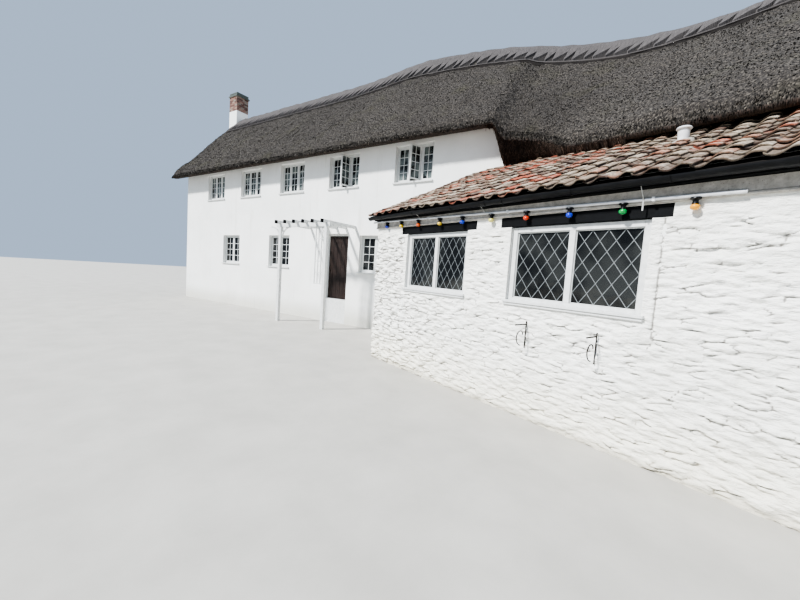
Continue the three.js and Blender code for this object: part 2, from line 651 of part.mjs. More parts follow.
// One sheet of glass a storey closes the back windows, on the rooms' side of the wall
function backGlass() {
  const group = leftRange();
  const sheet = (from, to, y, size) => block(from - size.wide / 2 - GLASS_LAP, to + size.wide / 2 + GLASS_LAP,
    y - GLASS_THICK, y, size.low - GLASS_LAP, size.high + GLASS_LAP);
  const leftY = RANGE_DEPTH - WALL - SEAM;
  const rows = [["upper", UPPER_WINDOWS, UPPER_WINDOW], ["lower", BACK_LOWER_WINDOWS, LOWER_WINDOW]];
  for (const [storey, row, size] of rows) {
    piece(`left_back_glass_${storey}`, sheet(-row.at(-1), -row[0], leftY, size), "glazing", group);
  }
  const [from, to] = [RIGHT_BACK_WINDOWS[0], RIGHT_BACK_WINDOWS.at(-1)];
  const rightY = RIGHT_FRONT_Y + RANGE_DEPTH - WALL;
  piece("right_back_glass", sheet(from, to, rightY, LOWER_WINDOW), "glazing");
  const gable = windowGeometry(GABLE_WINDOW_WIDE - 2 * SEAM, UPPER_WINDOW.high - UPPER_WINDOW.low - 2 * SEAM,
    2, WINDOW_DEEP, SASH_FACE);
  const y = RIGHT_FRONT_Y + (RANGE_DEPTH - GABLE_WINDOW_WIDE) / 2 + SEAM;
  gable.rotateZ(Math.PI / 2).translate(RIGHT_END_X - REVEAL, y, UPPER_WINDOW.low + SEAM);
  piece("gable_window", gable, "white_timber");
}

// Entrance: a frame with hinge pins, and a leaf that turns on them
const LEAF = {
  hinge: -(DOOR.from + DOOR_FRAME + DOOR_CLEAR),
  free: -(DOOR.to - DOOR_FRAME - SWING_CLEAR),
  inner: DOOR_FRAME_AT + DOOR_FRAME_DEEP + DOOR_CLEAR,
  low: FLOOR + SWING_CLEAR,
  high: DOOR.high - DOOR_FRAME - DOOR_CLEAR,
};
LEAF.pinY = LEAF.inner + PIN.out;

function doorFrame() {
  const [x0, x1] = [-DOOR.to + SEAM, -DOOR.from - SEAM];
  const [y0, y1] = [DOOR_FRAME_AT, DOOR_FRAME_AT + DOOR_FRAME_DEEP];
  const [w, top] = [DOOR_FRAME, DOOR.high - SEAM];
  const outline = [[x0, 0], [x0 + w, 0], [x0 + w, top - w], [x1 - w, top - w], [x1 - w, 0], [x1, 0],
    [x1, top], [x0, top]];
  const parts = [upright(outline, y0, y1), block(x0, x1, PAST, y1, 0, FLOOR)];
  const bracketEnd = LEAF.pinY + PIN.radius;
  for (const z of HINGE_HEIGHTS) {
    const [low, high] = [z - BRACKET.low, z - BRACKET.high];
    parts.push(block(x1 - w + STRAP.set_in, x1 - BRACKET.inset, y1 - PAST, bracketEnd, low, high));
    parts.push(block(LEAF.hinge - PIN.radius + STRAP.set_in, x1 - BRACKET.inset, LEAF.pinY - BRACKET.inner,
      bracketEnd, low, high));
    parts.push(rod(PIN.radius, [LEAF.hinge, LEAF.pinY, z - PIN.below],
      [LEAF.hinge, LEAF.pinY, z + EYE.tall + PIN.above]));
  }
  return join(...parts);
}

function doorLeaf() {
  const parts = [block(LEAF.free, LEAF.hinge, LEAF.inner - LEAF_THICK, LEAF.inner, LEAF.low, LEAF.high)];
  const bores = [];
  const eyeSide = LEAF.hinge - PIN.radius - 1;
  for (const z of HINGE_HEIGHTS) {
    parts.push(block(LEAF.hinge - STRAP.long, LEAF.hinge - BRACKET.inner, LEAF.inner - STRAP.set_in,
      LEAF.inner + STRAP.thick, z + STRAP.inset, z + EYE.tall - STRAP.inset));
    parts.push(block(eyeSide - STRAP.thick, eyeSide, LEAF.inner, LEAF.pinY, z, z + EYE.tall));
    parts.push(rod(EYE.radius, [LEAF.hinge, LEAF.pinY, z], [LEAF.hinge, LEAF.pinY, z + EYE.tall], 16));
    bores.push(rod(PIN.radius + PIN.run, [LEAF.hinge, LEAF.pinY, z - PAST],
      [LEAF.hinge, LEAF.pinY, z + EYE.tall + PAST]));
  }
  return cut(join(...parts), ...bores);
}

function entrance() {
  const group = leftRange();
  piece("front_door_frame", doorFrame(), "white_timber", group);
  piece("front_door", doorLeaf(), "door", group);
}

// Porch: posts, a beam, rafters back to the wall and a narrow trellis
function porch() {
  const group = leftRange();
  const { right, left, past, out, post } = PORCH;
  const [front, back] = [-out - post / 2, -out + post / 2];
  const frame = [block(-left - past, -right + past, front, back, PORCH.beam_low, PORCH.beam_high)];
  for (const a of [right, left]) {
    frame.push(block(-a - post / 2, -a + post / 2, front + 2, back - 2, 0, PORCH.beam_low + PAST));
  }
  const rafterLow = PORCH.beam_high - RAFTER.notch;
  for (let i = 0; i < RAFTER.count; i += 1) {
    const a = right + ((left - right) * i) / (RAFTER.count - 1);
    frame.push(block(-a - RAFTER.wide / 2, -a + RAFTER.wide / 2, -RAFTER.out, -SEAM, rafterLow,
      rafterLow + RAFTER.high));
  }
  piece("porch_frame", join(...frame), "white_timber", group);

  const bars = [];
  const x0 = -right - post / 2 - SEAM - TRELLIS.wide;
  const [y0, y1] = [-out - TRELLIS.thick / 2, -out + TRELLIS.thick / 2];
  const top = PORCH.beam_low - SEAM;
  for (let i = 0; i < TRELLIS.uprights; i += 1) {
    const x = x0 + ((TRELLIS.wide - TRELLIS.bar) * i) / (TRELLIS.uprights - 1);
    bars.push(block(x, x + TRELLIS.bar, y0, y1, TRELLIS.low, top));
  }
  for (let i = 0; i < TRELLIS.rails; i += 1) {
    const z = TRELLIS.low + ((top - TRELLIS.bar - TRELLIS.low) * i) / (TRELLIS.rails - 1);
    bars.push(block(x0, x0 + TRELLIS.wide, y0 + 2, y1 - 2, z, z + TRELLIS.bar));
  }
  piece("porch_trellis", join(...bars), "white_timber", group);
}

// Lean-to along the street. Its back meets the left range's slanting front, then the right range's
const MEET_X = corner(0, RIGHT_FRONT_Y)[0] + 1;
const besideLeftRange = (x) => LEFT_START_Y + x * Math.tan(TURN) - SEAM / Math.cos(TURN) - SEAM;

function leanWalls() {
  const cutters = [];
  for (const [x0, x1] of LEAN_WINDOWS) {
    cutters.push(block(x0 - FRAME_FACE, x1 + FRAME_FACE, -PAST, LEAN_WALL + PAST, GLASS_LOW - FRAME_FACE,
      LINTEL_LOW));
    cutters.push(block(x0 - LINTEL_BEARING, x1 + LINTEL_BEARING, -PAST, LINTEL_DEEP, LINTEL_LOW - 1,
      LINTEL_HIGH));
  }
  const front = cut(block(0, LEAN_LENGTH, 0, LEAN_WALL, 0, ABOVE_ROOF), ...cutters);
  piece("lean_to_front_wall", within(front, underTiles()), "rubble");
  const [innerLeft, innerRight] = [LEAN_WALL, LEAN_LENGTH - LEAN_WALL];
  const leftEnd = prism([[0, LEAN_WALL], [innerLeft, LEAN_WALL], [innerLeft, besideLeftRange(innerLeft)],
    [0, besideLeftRange(0)]], 0, ABOVE_ROOF);
  piece("lean_to_left_end_wall", within(leftEnd, underTiles()), "rubble");
  const rightEnd = block(innerRight, LEAN_LENGTH, LEAN_WALL, RIGHT_FRONT_Y, 0, ABOVE_ROOF);
  piece("lean_to_right_end_wall", within(rightEnd, underTiles()), "rubble");
  const room = [[innerLeft, LEAN_WALL], [innerRight, LEAN_WALL], [innerRight, RIGHT_FRONT_Y],
    [MEET_X, RIGHT_FRONT_Y], [innerLeft, besideLeftRange(innerLeft)]];
  piece("lean_to_floor", prism(room, LEAN_FLOOR - FLOOR_THICK, LEAN_FLOOR), "boards");
}

function leanRoof() {
  const [left, right] = [-TILE_VERGE, LEAN_LENGTH + TILE_VERGE];
  const outline = [[left, -TILE_EAVE], [right, -TILE_EAVE], [right, RIGHT_FRONT_Y - SEAM],
    [MEET_X, RIGHT_FRONT_Y - 3 * SEAM], [left, besideLeftRange(left)]];
  const slab = prism(outline, TILE_TOP - TILE_THICK, TILE_TOP);
  const position = slab.attributes.position;
  for (let i = 0; i < position.count; i += 1) {
    position.setZ(i, position.getZ(i) + TILE_RISE * position.getY(i));
  }
  piece("lean_to_tile_roof", slab, "tile");

  const bottom = tileTop(-FASCIA.out) - TILE_THICK - SEAM;
  const fascia = join(block(0, LEAN_LENGTH, -FASCIA.out, -FASCIA.out + FASCIA.thick, FASCIA.low, bottom),
    block(0, LEAN_LENGTH, -FASCIA.out + FASCIA.soffit_in, 0, FASCIA.low, FASCIA.low + FASCIA.thick));
  piece("lean_to_fascia", fascia, "black_timber");

  const trough = new THREE.Shape();
  trough.absarc(0, 0, GUTTER.radius, Math.PI, 2 * Math.PI, false);
  trough.absarc(0, 0, GUTTER.radius - GUTTER.skin, 2 * Math.PI, Math.PI, true);
  const length = LEAN_LENGTH + TILE_VERGE;
  const gutter = new THREE.ExtrudeGeometry(trough, { depth: length, bevelEnabled: false, curveSegments: 8 });
  gutter.rotateX(Math.PI / 2).rotateZ(Math.PI / 2);
  gutter.translate(-TILE_VERGE / 2, -FASCIA.out - SEAM - GUTTER.radius, GUTTER.top);
  piece("lean_to_gutter", gutter, "black_plastic");
}

function leanFittings() {
  LEAN_WINDOWS.forEach(([x0, x1], i) => {
    const [left, right] = [x0 - FRAME_FACE + SEAM, x1 + FRAME_FACE - SEAM];
    const low = GLASS_LOW - FRAME_FACE + SEAM;
    const frame = windowGeometry(right - left, LINTEL_LOW - SEAM - low, 2, WINDOW_DEEP, FRAME_FACE);
    frame.translate(left, FRAME_IN, low);
    const sill = block(left + 1, right - 1, -SILL.out, 2 * FRAME_IN, low, low + SILL.high);
    piece(`leaded_window_${i + 1}`, join(frame, sill), "white_timber");
    const lintel = block(x0 - LINTEL_BEARING + SEAM, x1 + LINTEL_BEARING - SEAM, -LINTEL_OUT,
      LINTEL_DEEP - SEAM, LINTEL_LOW, LINTEL_HIGH - SEAM);
    piece(`window_lintel_${i + 1}`, lintel, "black_timber");
  });

  const slope = (CONDUIT.to[1] - CONDUIT.from[1]) / (CONDUIT.to[0] - CONDUIT.from[0]);
  const heightAt = (x) => CONDUIT.from[1] + slope * (x - CONDUIT.from[0]);
  const rail = [rod(CONDUIT.radius, [CONDUIT.from[0], CONDUIT.y, CONDUIT.from[1]],
    [CONDUIT.to[0], CONDUIT.y, CONDUIT.to[1]])];
  for (const x of LAMP_X) {
    const z = heightAt(x);
    rail.push(rod(LAMP.holder, [x, CONDUIT.y, z - LAMP.drop], [x, CONDUIT.y, z - 2], 10));
    rail.push(new THREE.SphereGeometry(LAMP.radius, 10, 8).translate(x, CONDUIT.y, z - LAMP.bulb_drop));
  }
  for (const x of CLIP.at) {
    const z = heightAt(x);
    rail.push(block(x - CLIP.half, x + CLIP.half, CONDUIT.y - CONDUIT.radius - CLIP.over, -SEAM,
      z - CLIP.half_high, z + CLIP.half_high));
  }
  piece("lamp_conduit", join(...rail), "white_plastic");

  const pipe = rod(FLUE.radius, [FLUE.x, FLUE.y, tileTop(FLUE.y - FLUE.radius)],
    [FLUE.x, FLUE.y, FLUE.high], FLUE.sides);
  const cap = rod(FLUE.cap, [FLUE.x, FLUE.y, FLUE.high - PAST],
    [FLUE.x, FLUE.y, FLUE.high + FLUE.cap_high], FLUE.sides);
  piece("flue_pipe", overTiles(join(pipe, cap)), "white_plastic");
}

leftWalls();
rightWalls();
floors();
thatch();
chimney();
leftWindows();
backGlass();
entrance();
porch();
leanWalls();
leanRoof();
leanFittings();

// The origin is under the middle of the whole building
const extent = new THREE.Box3().setFromObject(house);
const centre = extent.getCenter(new THREE.Vector3());
house.position.set(-centre.x, -centre.y, -extent.min.z);

export default house;
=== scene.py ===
# %% [markdown]
# # A thatched cottage with a pantiled lean-to
# The solids of the house are already made, to scale. This lesson dresses them: it lays
# reed on the roof, sets tiles one by one, paints rough stone, and glazes the windows.
# Each surface is a formula on a grid, so that every number stays easy to change.

import math

import bpy
import numpy as np
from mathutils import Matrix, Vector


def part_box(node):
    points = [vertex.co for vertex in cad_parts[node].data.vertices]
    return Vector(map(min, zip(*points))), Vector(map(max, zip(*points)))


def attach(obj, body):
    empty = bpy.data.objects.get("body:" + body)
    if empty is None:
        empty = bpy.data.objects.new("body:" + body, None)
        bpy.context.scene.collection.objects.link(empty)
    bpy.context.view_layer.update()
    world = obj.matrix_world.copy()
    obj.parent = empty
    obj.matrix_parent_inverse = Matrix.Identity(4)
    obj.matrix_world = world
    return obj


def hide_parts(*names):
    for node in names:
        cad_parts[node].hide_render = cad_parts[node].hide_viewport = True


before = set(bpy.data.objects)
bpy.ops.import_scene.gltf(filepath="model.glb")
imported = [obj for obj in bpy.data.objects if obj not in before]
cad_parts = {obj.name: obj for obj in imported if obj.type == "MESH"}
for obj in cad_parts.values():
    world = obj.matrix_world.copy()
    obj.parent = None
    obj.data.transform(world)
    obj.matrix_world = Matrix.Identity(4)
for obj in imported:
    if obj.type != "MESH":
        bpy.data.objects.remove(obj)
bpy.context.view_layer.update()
STREET = np.array(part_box("lean_to_front_wall")[0])

# %% [markdown]
# ## The places
# Three sets of measures are used. Street metres start at the left foot of the lean-to's
# front wall. The left range is turned toward the street, so its own measures run along its
# front. The roof has measures of its own: s along the ridge, and d out from under it.

# %% The plan, in metres
TURN = math.radians(19.3)
LEFT_Y, RIGHT_FRONT_Y = 2.8, 3.3
RANGE_DEPTH = 5.0
LEAN_LENGTH, RIGHT_END_X = 8.2, 8.4
rng = np.random.default_rng(7)


def left_range(points):
    """Points measured along the left range's front (right, inward, up), in street metres:
    they are turned about the upright axis and moved to the range's corner."""
    p = np.asarray(points, float)
    x = p[..., 0] * math.cos(TURN) - p[..., 1] * math.sin(TURN)
    y = LEFT_Y + p[..., 0] * math.sin(TURN) + p[..., 1] * math.cos(TURN)
    return np.stack([x, y, p[..., 2]], -1)


BEND_RADIUS = 7.1
HALF_ARC = BEND_RADIUS * TURN / 2
along_bend = (RIGHT_FRONT_Y + RANGE_DEPTH / 2 - LEFT_Y - RANGE_DEPTH / 2 * math.cos(TURN)) / math.sin(TURN)
BEND = left_range([along_bend, RANGE_DEPTH / 2, 0])
TANGENT = BEND_RADIUS * math.tan(TURN / 2)
ARC_CENTRE = np.array([BEND[0] + TANGENT, BEND[1] - BEND_RADIUS])


def on_roof(s, d, z):
    """Street point at s along the ridge and d behind it: straight, then an arc whose heading
    falls evenly from TURN to nothing, then straight."""
    heading = TURN * np.clip((HALF_ARC - s) / (2 * HALF_ARC), 0, 1)
    past = np.where(s < -HALF_ARC, s + HALF_ARC, np.maximum(0, s - HALF_ARC))
    x = ARC_CENTRE[0] - (BEND_RADIUS + d) * np.sin(heading) + past * np.cos(heading)
    y = ARC_CENTRE[1] + (BEND_RADIUS + d) * np.cos(heading) + past * np.sin(heading)
    return np.stack(np.broadcast_arrays(x, y, z), -1)


print("bend at", np.round(BEND[:2], 3), "arc centre", np.round(ARC_CENTRE, 3))

# %% [markdown]
# ## Arrays into meshes
# A mesh is points and faces. They could be added one at a time, but a roof of tiles and
# reeds would be slow, so here both are whole numpy arrays: a grid gives quads, a box gives
# six faces, and a shell closes two layers with a rim. A closed piece has a signed volume,
# and where that comes out negative, every face is turned over.


# %% Grids and shells
def grid_quads(rows, columns, wrap=False):
    """Quads of a grid of points, column by column; wrap joins the last column to the first."""
    i = np.arange(rows - 1)[:, None] * columns
    j = np.arange(columns if wrap else columns - 1)[None, :]
    k = (j + 1) % columns
    return np.stack([i + j, i + k, i + columns + k, i + columns + j], -1).reshape(-1, 4)


def rim_of(cells, count):
    """Quads between a layer and its copy count points later, along every edge that one cell has."""
    edges = np.concatenate([cells[:, [k, (k + 1) % 4]] for k in range(4)])
    outer = edges[~np.isin(edges[:, 0] * count + edges[:, 1], edges[:, 1] * count + edges[:, 0])]
    return np.stack([outer[:, 1], outer[:, 0], outer[:, 0] + count, outer[:, 1] + count], 1)


def shell(front, back, cells):
    """Closed solid between two layers of the same points: the front cells, the back cells turned
    over, and the rim. Unused points are dropped."""
    count = len(front)
    faces = np.concatenate([cells, cells[:, ::-1] + count, rim_of(cells, count)])
    used, faces = np.unique(faces, return_inverse=True)
    return np.concatenate([front, back])[used], faces.reshape(-1, 4), used % count


print("a grid of 3 by 4 points has", len(grid_quads(3, 4)), "quads")

# %% Boxes and bars
BOX_FACES = np.array([[0, 1, 3, 2], [4, 6, 7, 5], [0, 4, 5, 1], [2, 3, 7, 6], [0, 2, 6, 4], [1, 5, 7, 3]])
CORNERS = np.array([[i, j, k] for i in (0, 1) for j in (0, 1) for k in (0, 1)], float)


def repeated(faces, count, points_each):
    """The same faces for each of count copies of a shape."""
    return (faces[None] + points_each * np.arange(count)[:, None, None]).reshape(-1, faces.shape[-1])


def blocks(low, high):
    """Boxes between rows of low and high corners: corner = low + (0 or 1) × (high - low)."""
    low, high = np.atleast_2d(low).astype(float), np.atleast_2d(high).astype(float)
    points = low[:, None] + CORNERS[None] * (high - low)[:, None]
    return points.reshape(-1, 3), repeated(BOX_FACES, len(low), 8)


def bars(start, end, wide, deep, out=(0, -1, 0)):
    """Square bars from start to end, wide across and deep along out, both centred on the line."""
    start, end = np.atleast_2d(start).astype(float), np.atleast_2d(end).astype(float)
    along = end - start
    out = np.broadcast_to(np.asarray(out, float), start.shape)
    side = np.cross(out, along)
    side /= np.linalg.norm(side, axis=1, keepdims=True)
    face = np.cross(along, side)
    face /= np.linalg.norm(face, axis=1, keepdims=True)
    i, j, k = CORNERS[None, :, 0:1], CORNERS[None, :, 1:2] - 0.5, CORNERS[None, :, 2:3] - 0.5
    points = start[:, None] + i * along[:, None] + j * wide * side[:, None] + k * deep * face[:, None]
    return points.reshape(-1, 3), repeated(BOX_FACES, len(start), 8)


print("box faces", BOX_FACES.shape)


# %% Sweeps and turned shapes
def tube(rings):
    """Rings of points as a closed solid: quads from each ring to the next, and a cap at both ends."""
    count, sides = rings.shape[:2]
    caps = [np.arange(sides)[None, ::-1], (count - 1) * sides + np.arange(sides)[None]]
    return rings.reshape(-1, 3), [grid_quads(count, sides, wrap=True), *caps]


def sweep(path, profile, up=(0, 0, 1)):
    """A closed profile of (side, up) points carried along a path: ring point = path point + side ×
    sideways + up × upward, where sideways is square to the path and to up."""
    path, profile = np.asarray(path, float), np.asarray(profile, float)
    tangent = np.gradient(path, axis=0)
    sideways = np.cross(tangent, up)
    sideways /= np.linalg.norm(sideways, axis=1, keepdims=True)
    upward = np.cross(sideways, tangent)
    upward /= np.linalg.norm(upward, axis=1, keepdims=True)
    return tube(path[:, None] + profile[None, :, :1] * sideways[:, None] + profile[None, :, 1:] * upward[:, None])


def circle(radius, sides):
    """Points of a circle: radius × (cos, sin) of equal turns."""
    angle = np.arange(sides) * 2 * math.pi / sides
    return radius * np.stack([np.cos(angle), np.sin(angle)], 1)


def spin(profile, sides=12):
    """Points (radius, height) turned about the upright axis: (r cos a, r sin a, z)."""
    profile = np.asarray(profile, float)
    flat = profile[:, None, :1] * circle(1.0, sides)[None]
    return tube(np.concatenate([flat, np.broadcast_to(profile[:, None, 1:], flat[..., :1].shape)], 2))


print("a turned ring has", len(spin([(1, 0), (1, 1)])[0]), "points")


# %% Shapes together, and many of one
def volume_of(points, faces):
    """Signed volume: a sixth of the sum of a · (b × c) over the triangles fanned from each face."""
    total = 0.0
    for group in faces:
        a = points[group[:, 0]]
        for k in range(1, group.shape[1] - 1):
            total += np.einsum("ij,ij->", a, np.cross(points[group[:, k]], points[group[:, k + 1]])) / 6
    return total


def outward(shape):
    """The shape with its faces in a list, turned over if its volume comes out negative."""
    points, faces = shape
    faces = faces if isinstance(faces, list) else [faces]
    if volume_of(points - points.mean(0), faces) < 0:
        faces = [group[:, ::-1] for group in faces]
    return points, faces


def joined(*shapes):
    """Several (points, faces) shapes as one: later faces count on from the earlier points."""
    points, faces, count = [], [], 0
    for shape in shapes:
        shape_points, shape_faces = outward(shape)
        faces += [group + count for group in shape_faces]
        points.append(shape_points)
        count += len(shape_points)
    return np.concatenate(points), faces


def copies(shape, places):
    """The shape once at each place."""
    points, faces = outward(shape)
    places = np.atleast_2d(places)
    faces = [repeated(group, len(places), len(points)) for group in faces]
    return (places[:, None] + points[None]).reshape(-1, 3), faces


def carried(shape, origin=(0, 0, 0), quarter=0, into=None):
    """The shape turned by quarters of a turn about the upright axis, then moved to origin, and
    put in street metres by into where its measures are others."""
    points, faces = outward(shape)
    c, s = [(1, 0), (0, 1), (-1, 0), (0, -1)][quarter]
    x, y, z = points.T
    points = np.stack([x * c - y * s, x * s + y * c, z], 1) + origin
    return (into(points) if into else points), faces


print("four copies of a box have", len(copies(blocks((0, 0, 0), (1, 1, 1)), np.zeros((4, 3)))[0]), "points")


# %% Points and faces into a piece that rides on a body
def piece(name, shape, material, slot, nodes=(), body="building", smooth=0, lay=None, marks=None, bevel=0):
    """A finished piece. smooth is the angle in degrees under which edges are shaded round; lay is
    a UV pair for each point; marks are named values for each point; bevel rounds the edges."""
    points, faces = outward(shape)
    points = points + STREET
    sizes = np.concatenate([np.full(len(group), group.shape[1]) for group in faces])
    loops = np.concatenate([group.ravel() for group in faces]).astype(np.int32)
    mesh = bpy.data.meshes.new(name)
    mesh.vertices.add(len(points))
    mesh.vertices.foreach_set("co", points.ravel().astype(np.float32))
    mesh.loops.add(len(loops))
    mesh.loops.foreach_set("vertex_index", loops)
    mesh.polygons.add(len(sizes))
    mesh.polygons.foreach_set("loop_start", (np.cumsum(sizes) - sizes).astype(np.int32))
    mesh.polygons.foreach_set("use_smooth", np.full(len(sizes), smooth > 0))
    mesh.update(calc_edges=True)
    if smooth:
        mesh.set_sharp_from_angle(angle=math.radians(smooth))
    if lay is not None:
        layer = mesh.uv_layers.new(name="lay")
        layer.uv.foreach_set("vector", np.asarray(lay, np.float32)[loops].ravel())
    for key, values in (marks or {}).items():
        values = np.asarray(values, np.float32)
        kind, field = ("FLOAT", "value") if values.ndim == 1 else ("FLOAT_COLOR", "color")
        mesh.attributes.new(key, kind, "POINT").data.foreach_set(field, values.ravel())
    mesh.materials.append(material)
    made = bpy.data.objects.new(name, mesh)
    bpy.context.scene.collection.objects.link(made)
    if bevel:
        modifier = made.modifiers.new("edges", "BEVEL")
        modifier.width = bevel
        modifier.segments = 1
        modifier.limit_method = "ANGLE"
    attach(made, body)
    if nodes:
        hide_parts(*nodes)
    print(name, "faces", len(sizes))
    return made


print("a piece is made by", piece.__name__)

# %% [markdown]
# ## Noise in arrays
# Old surfaces are never flat. Blender's noise textures could displace them, but numbers that
# numpy works out can also place and tint things. A sum of plane waves, each with a seeded
# heading, length and phase, gives a soft ripple. Stones need edges instead: each point finds
# the two nearest of scattered centres, and where both are equally near there is a joint.


# %% Ripple and stones
def ripple(u, v, length, seed, waves=9):
    """Soft noise about 0: the mean of sines of (u cos a + v sin a) × 2 pi / wavelength + phase."""
    draw = np.random.default_rng(seed)
    total = np.zeros(np.broadcast(u, v).shape)
    for turn, stretch, phase in zip(draw.uniform(0, 2 * math.pi, waves), draw.uniform(0.6, 1.6, waves),
                                    draw.uniform(0, 2 * math.pi, waves)):
        across = u * math.cos(turn) + v * math.sin(turn)
        total += np.sin(across * 2 * math.pi / (length * stretch) + phase)
    return total / math.sqrt(waves)


def smooth_step(value, low, high):
    """0 below low, 1 above high, and 3t² - 2t³ between."""
    t = np.clip((value - low) / (high - low), 0, 1)
    return t * t * (3 - 2 * t)


def stones(u, v, wide, high, seed):
    """For each point, how far it lies inside its stone in metres, that stone's own random number,
    and how far the point is under its centre. One centre is scattered in each cell. The distance
    to the joint is (second² - nearest²) / 2 over the length of its slope."""
    draw = np.random.default_rng(seed)
    size = 64
    shift = draw.uniform(0.1, 0.9, (size, size, 2))
    own = draw.uniform(0, 1, (size, size))
    a, b = u / wide, v / high
    near = np.full(a.shape, 9.0)
    second = near.copy()
    number, first_a, first_b, other_a, other_b = np.zeros((5, *a.shape))
    for di in (-1, 0, 1):
        for dj in (-1, 0, 1):
            i, j = np.floor(a).astype(int) + di, np.floor(b).astype(int) + dj
            centre = shift[i % size, j % size]
            da, db = i + centre[..., 0] - a, j + centre[..., 1] - b
            reach = np.hypot(da, db)
            closer, next_best = reach < near, (reach >= near) & (reach < second)
            other_a = np.where(closer, first_a, np.where(next_best, da, other_a))
            other_b = np.where(closer, first_b, np.where(next_best, db, other_b))
            second = np.where(closer, near, np.minimum(second, reach))
            first_a, first_b = np.where(closer, da, first_a), np.where(closer, db, first_b)
            number = np.where(closer, own[i % size, j % size], number)
            near = np.minimum(near, reach)
    slope = np.hypot((first_a - other_a) / wide, (first_b - other_b) / high)
    return (second ** 2 - near ** 2) / 2 / slope, number, first_b


print("ripple at the corner", round(float(ripple(np.array(0.0), np.array(0.0), 1.0, 1)), 3))

# %% [markdown]
# ## Shader sums in Python
# A finish is a tree of nodes. A small class wraps a socket, so that `1 - mask` or
# `grain * 0.5` adds the Math node by itself, and one method makes every other node.


# %% A socket that can be added and multiplied
class Value:
    """The output of a node, with Python's own operators."""

    def __init__(self, finish, socket):
        self.finish = finish
        self.socket = socket

    def math(self, operation, first, second):
        return self.finish.node("ShaderNodeMath", {"operation": operation}, {0: first, 1: second})

    def __add__(self, other):
        return self.math("ADD", self, other)

    def __mul__(self, other):
        return self.math("MULTIPLY", self, other)

    def __sub__(self, other):
        return self.math("SUBTRACT", self, other)

    def __rsub__(self, other):
        return self.math("SUBTRACT", other, self)

    __radd__ = __add__
    __rmul__ = __mul__


def paint(code):
    """A colour code of six hex digits as linear light: ((c + 0.055) / 1.055) ^ 2.4."""
    parts = [int(code[i:i + 2], 16) / 255 for i in (0, 2, 4)]
    return (*[c / 12.92 if c <= 0.04045 else ((c + 0.055) / 1.055) ** 2.4 for c in parts], 1.0)


class Finish:
    """A material being made. Numbers that stay the same are set on the shader itself."""

    def __init__(self, name, **constants):
        self.material = bpy.data.materials.new(name)
        self.material.use_nodes = True
        self.tree = self.material.node_tree
        self.shader = self.tree.nodes["Principled BSDF"]
        for key, value in constants.items():
            self.shader.inputs[key.replace("_", " ")].default_value = value

    def node(self, kind, settings=None, inputs=None, output=0):
        """Any node: its settings first, a ramp's stops among them, then numbers or links of its sockets."""
        made = self.tree.nodes.new(kind)
        settings = dict(settings or {})
        for spot, (at, code) in enumerate(settings.pop("stops", [])):
            ramp = made.color_ramp.elements
            stop = ramp[spot] if spot < 2 else ramp.new(at)
            stop.position = at
            stop.color = paint(code)
        for key, value in settings.items():
            setattr(made, key, value)
        for key, value in (inputs or {}).items():
            if isinstance(value, Value):
                self.tree.links.new(value.socket, made.inputs[key])
            else:
                made.inputs[key].default_value = value
        return Value(self, made.outputs[output])

    def place(self, scale=(1, 1, 1)):
        """Object coordinates, stretched: a larger number makes a pattern finer that way."""
        coordinates = self.node("ShaderNodeTexCoord", output=3)
        return self.node("ShaderNodeVectorMath", {"operation": "MULTIPLY"}, {0: coordinates, 1: scale})

    def lay(self, scale):
        """The piece's own UV map, in metres along and down it, stretched."""
        coordinates = self.node("ShaderNodeUVMap", {"uv_map": "lay"})
        return self.node("ShaderNodeVectorMath", {"operation": "MULTIPLY"}, {0: coordinates, 1: scale})

    def height(self):
        """Height over the ground, in metres."""
        return self.node("ShaderNodeSeparateXYZ", {}, {0: self.place()}, output=2)

    def noise(self, place, scale=1.0, detail=4.0, roughness=0.55):
        """Cloudy grain from 0 to 1; a larger scale is finer."""
        return self.node("ShaderNodeTexNoise", {}, {"Vector": place, "Scale": scale, "Detail": detail,
                                                    "Roughness": roughness})

    def mark(self, name):
        """A number that the piece stores at each of its points."""
        return self.node("ShaderNodeAttribute", {"attribute_name": name}, output=2)

    def mask(self, value, low, high):
        """0 where the value is below low, 1 above high, and a smooth step between."""
        return self.node("ShaderNodeMapRange", {"interpolation_type": "SMOOTHSTEP"},
                         {"Value": value, "From Min": low, "From Max": high})

    def ramp(self, value, *stops):
        """The colour that stands at that value, between stops of (value, colour code)."""
        return self.node("ShaderNodeValToRGB", {"stops": stops}, {"Fac": value})

    def mix(self, factor, first, second):
        """first × (1 - factor) + second × factor, each a colour code or the output of a node."""
        colours = {6: first, 7: second}
        ready = {key: paint(value) if isinstance(value, str) else value for key, value in colours.items()}
        return self.node("ShaderNodeMix", {"data_type": "RGBA"}, {0: factor, **ready}, output=2)

    def over(self, colour, value, low, high, share, code):
        """The colour with a second one laid over it, in that share, where the value passes from low to high."""
        return self.mix(self.mask(value, low, high) * share, colour, code)

    def near_ground(self, colour, low, high, share, code):
        """The colour with a second one over it up to the height low, which fades out by the height high."""
        return self.mix((1 - self.mask(self.height(), low, high)) * share, colour, code)

    def end(self, colour, height=None, distance=0.002):
        """Links the colour, and a bump of that height times the distance in metres, and gives the material."""
        self.tree.links.new(colour.socket, self.shader.inputs["Base Color"])
        if height is not None:
            bump = self.node("ShaderNodeBump", {}, {"Height": height, "Distance": distance, "Strength": 1.0})
            self.tree.links.new(bump.socket, self.shader.inputs["Normal"])
        return self.material


print("white is", np.round(paint("ffffff"), 2))
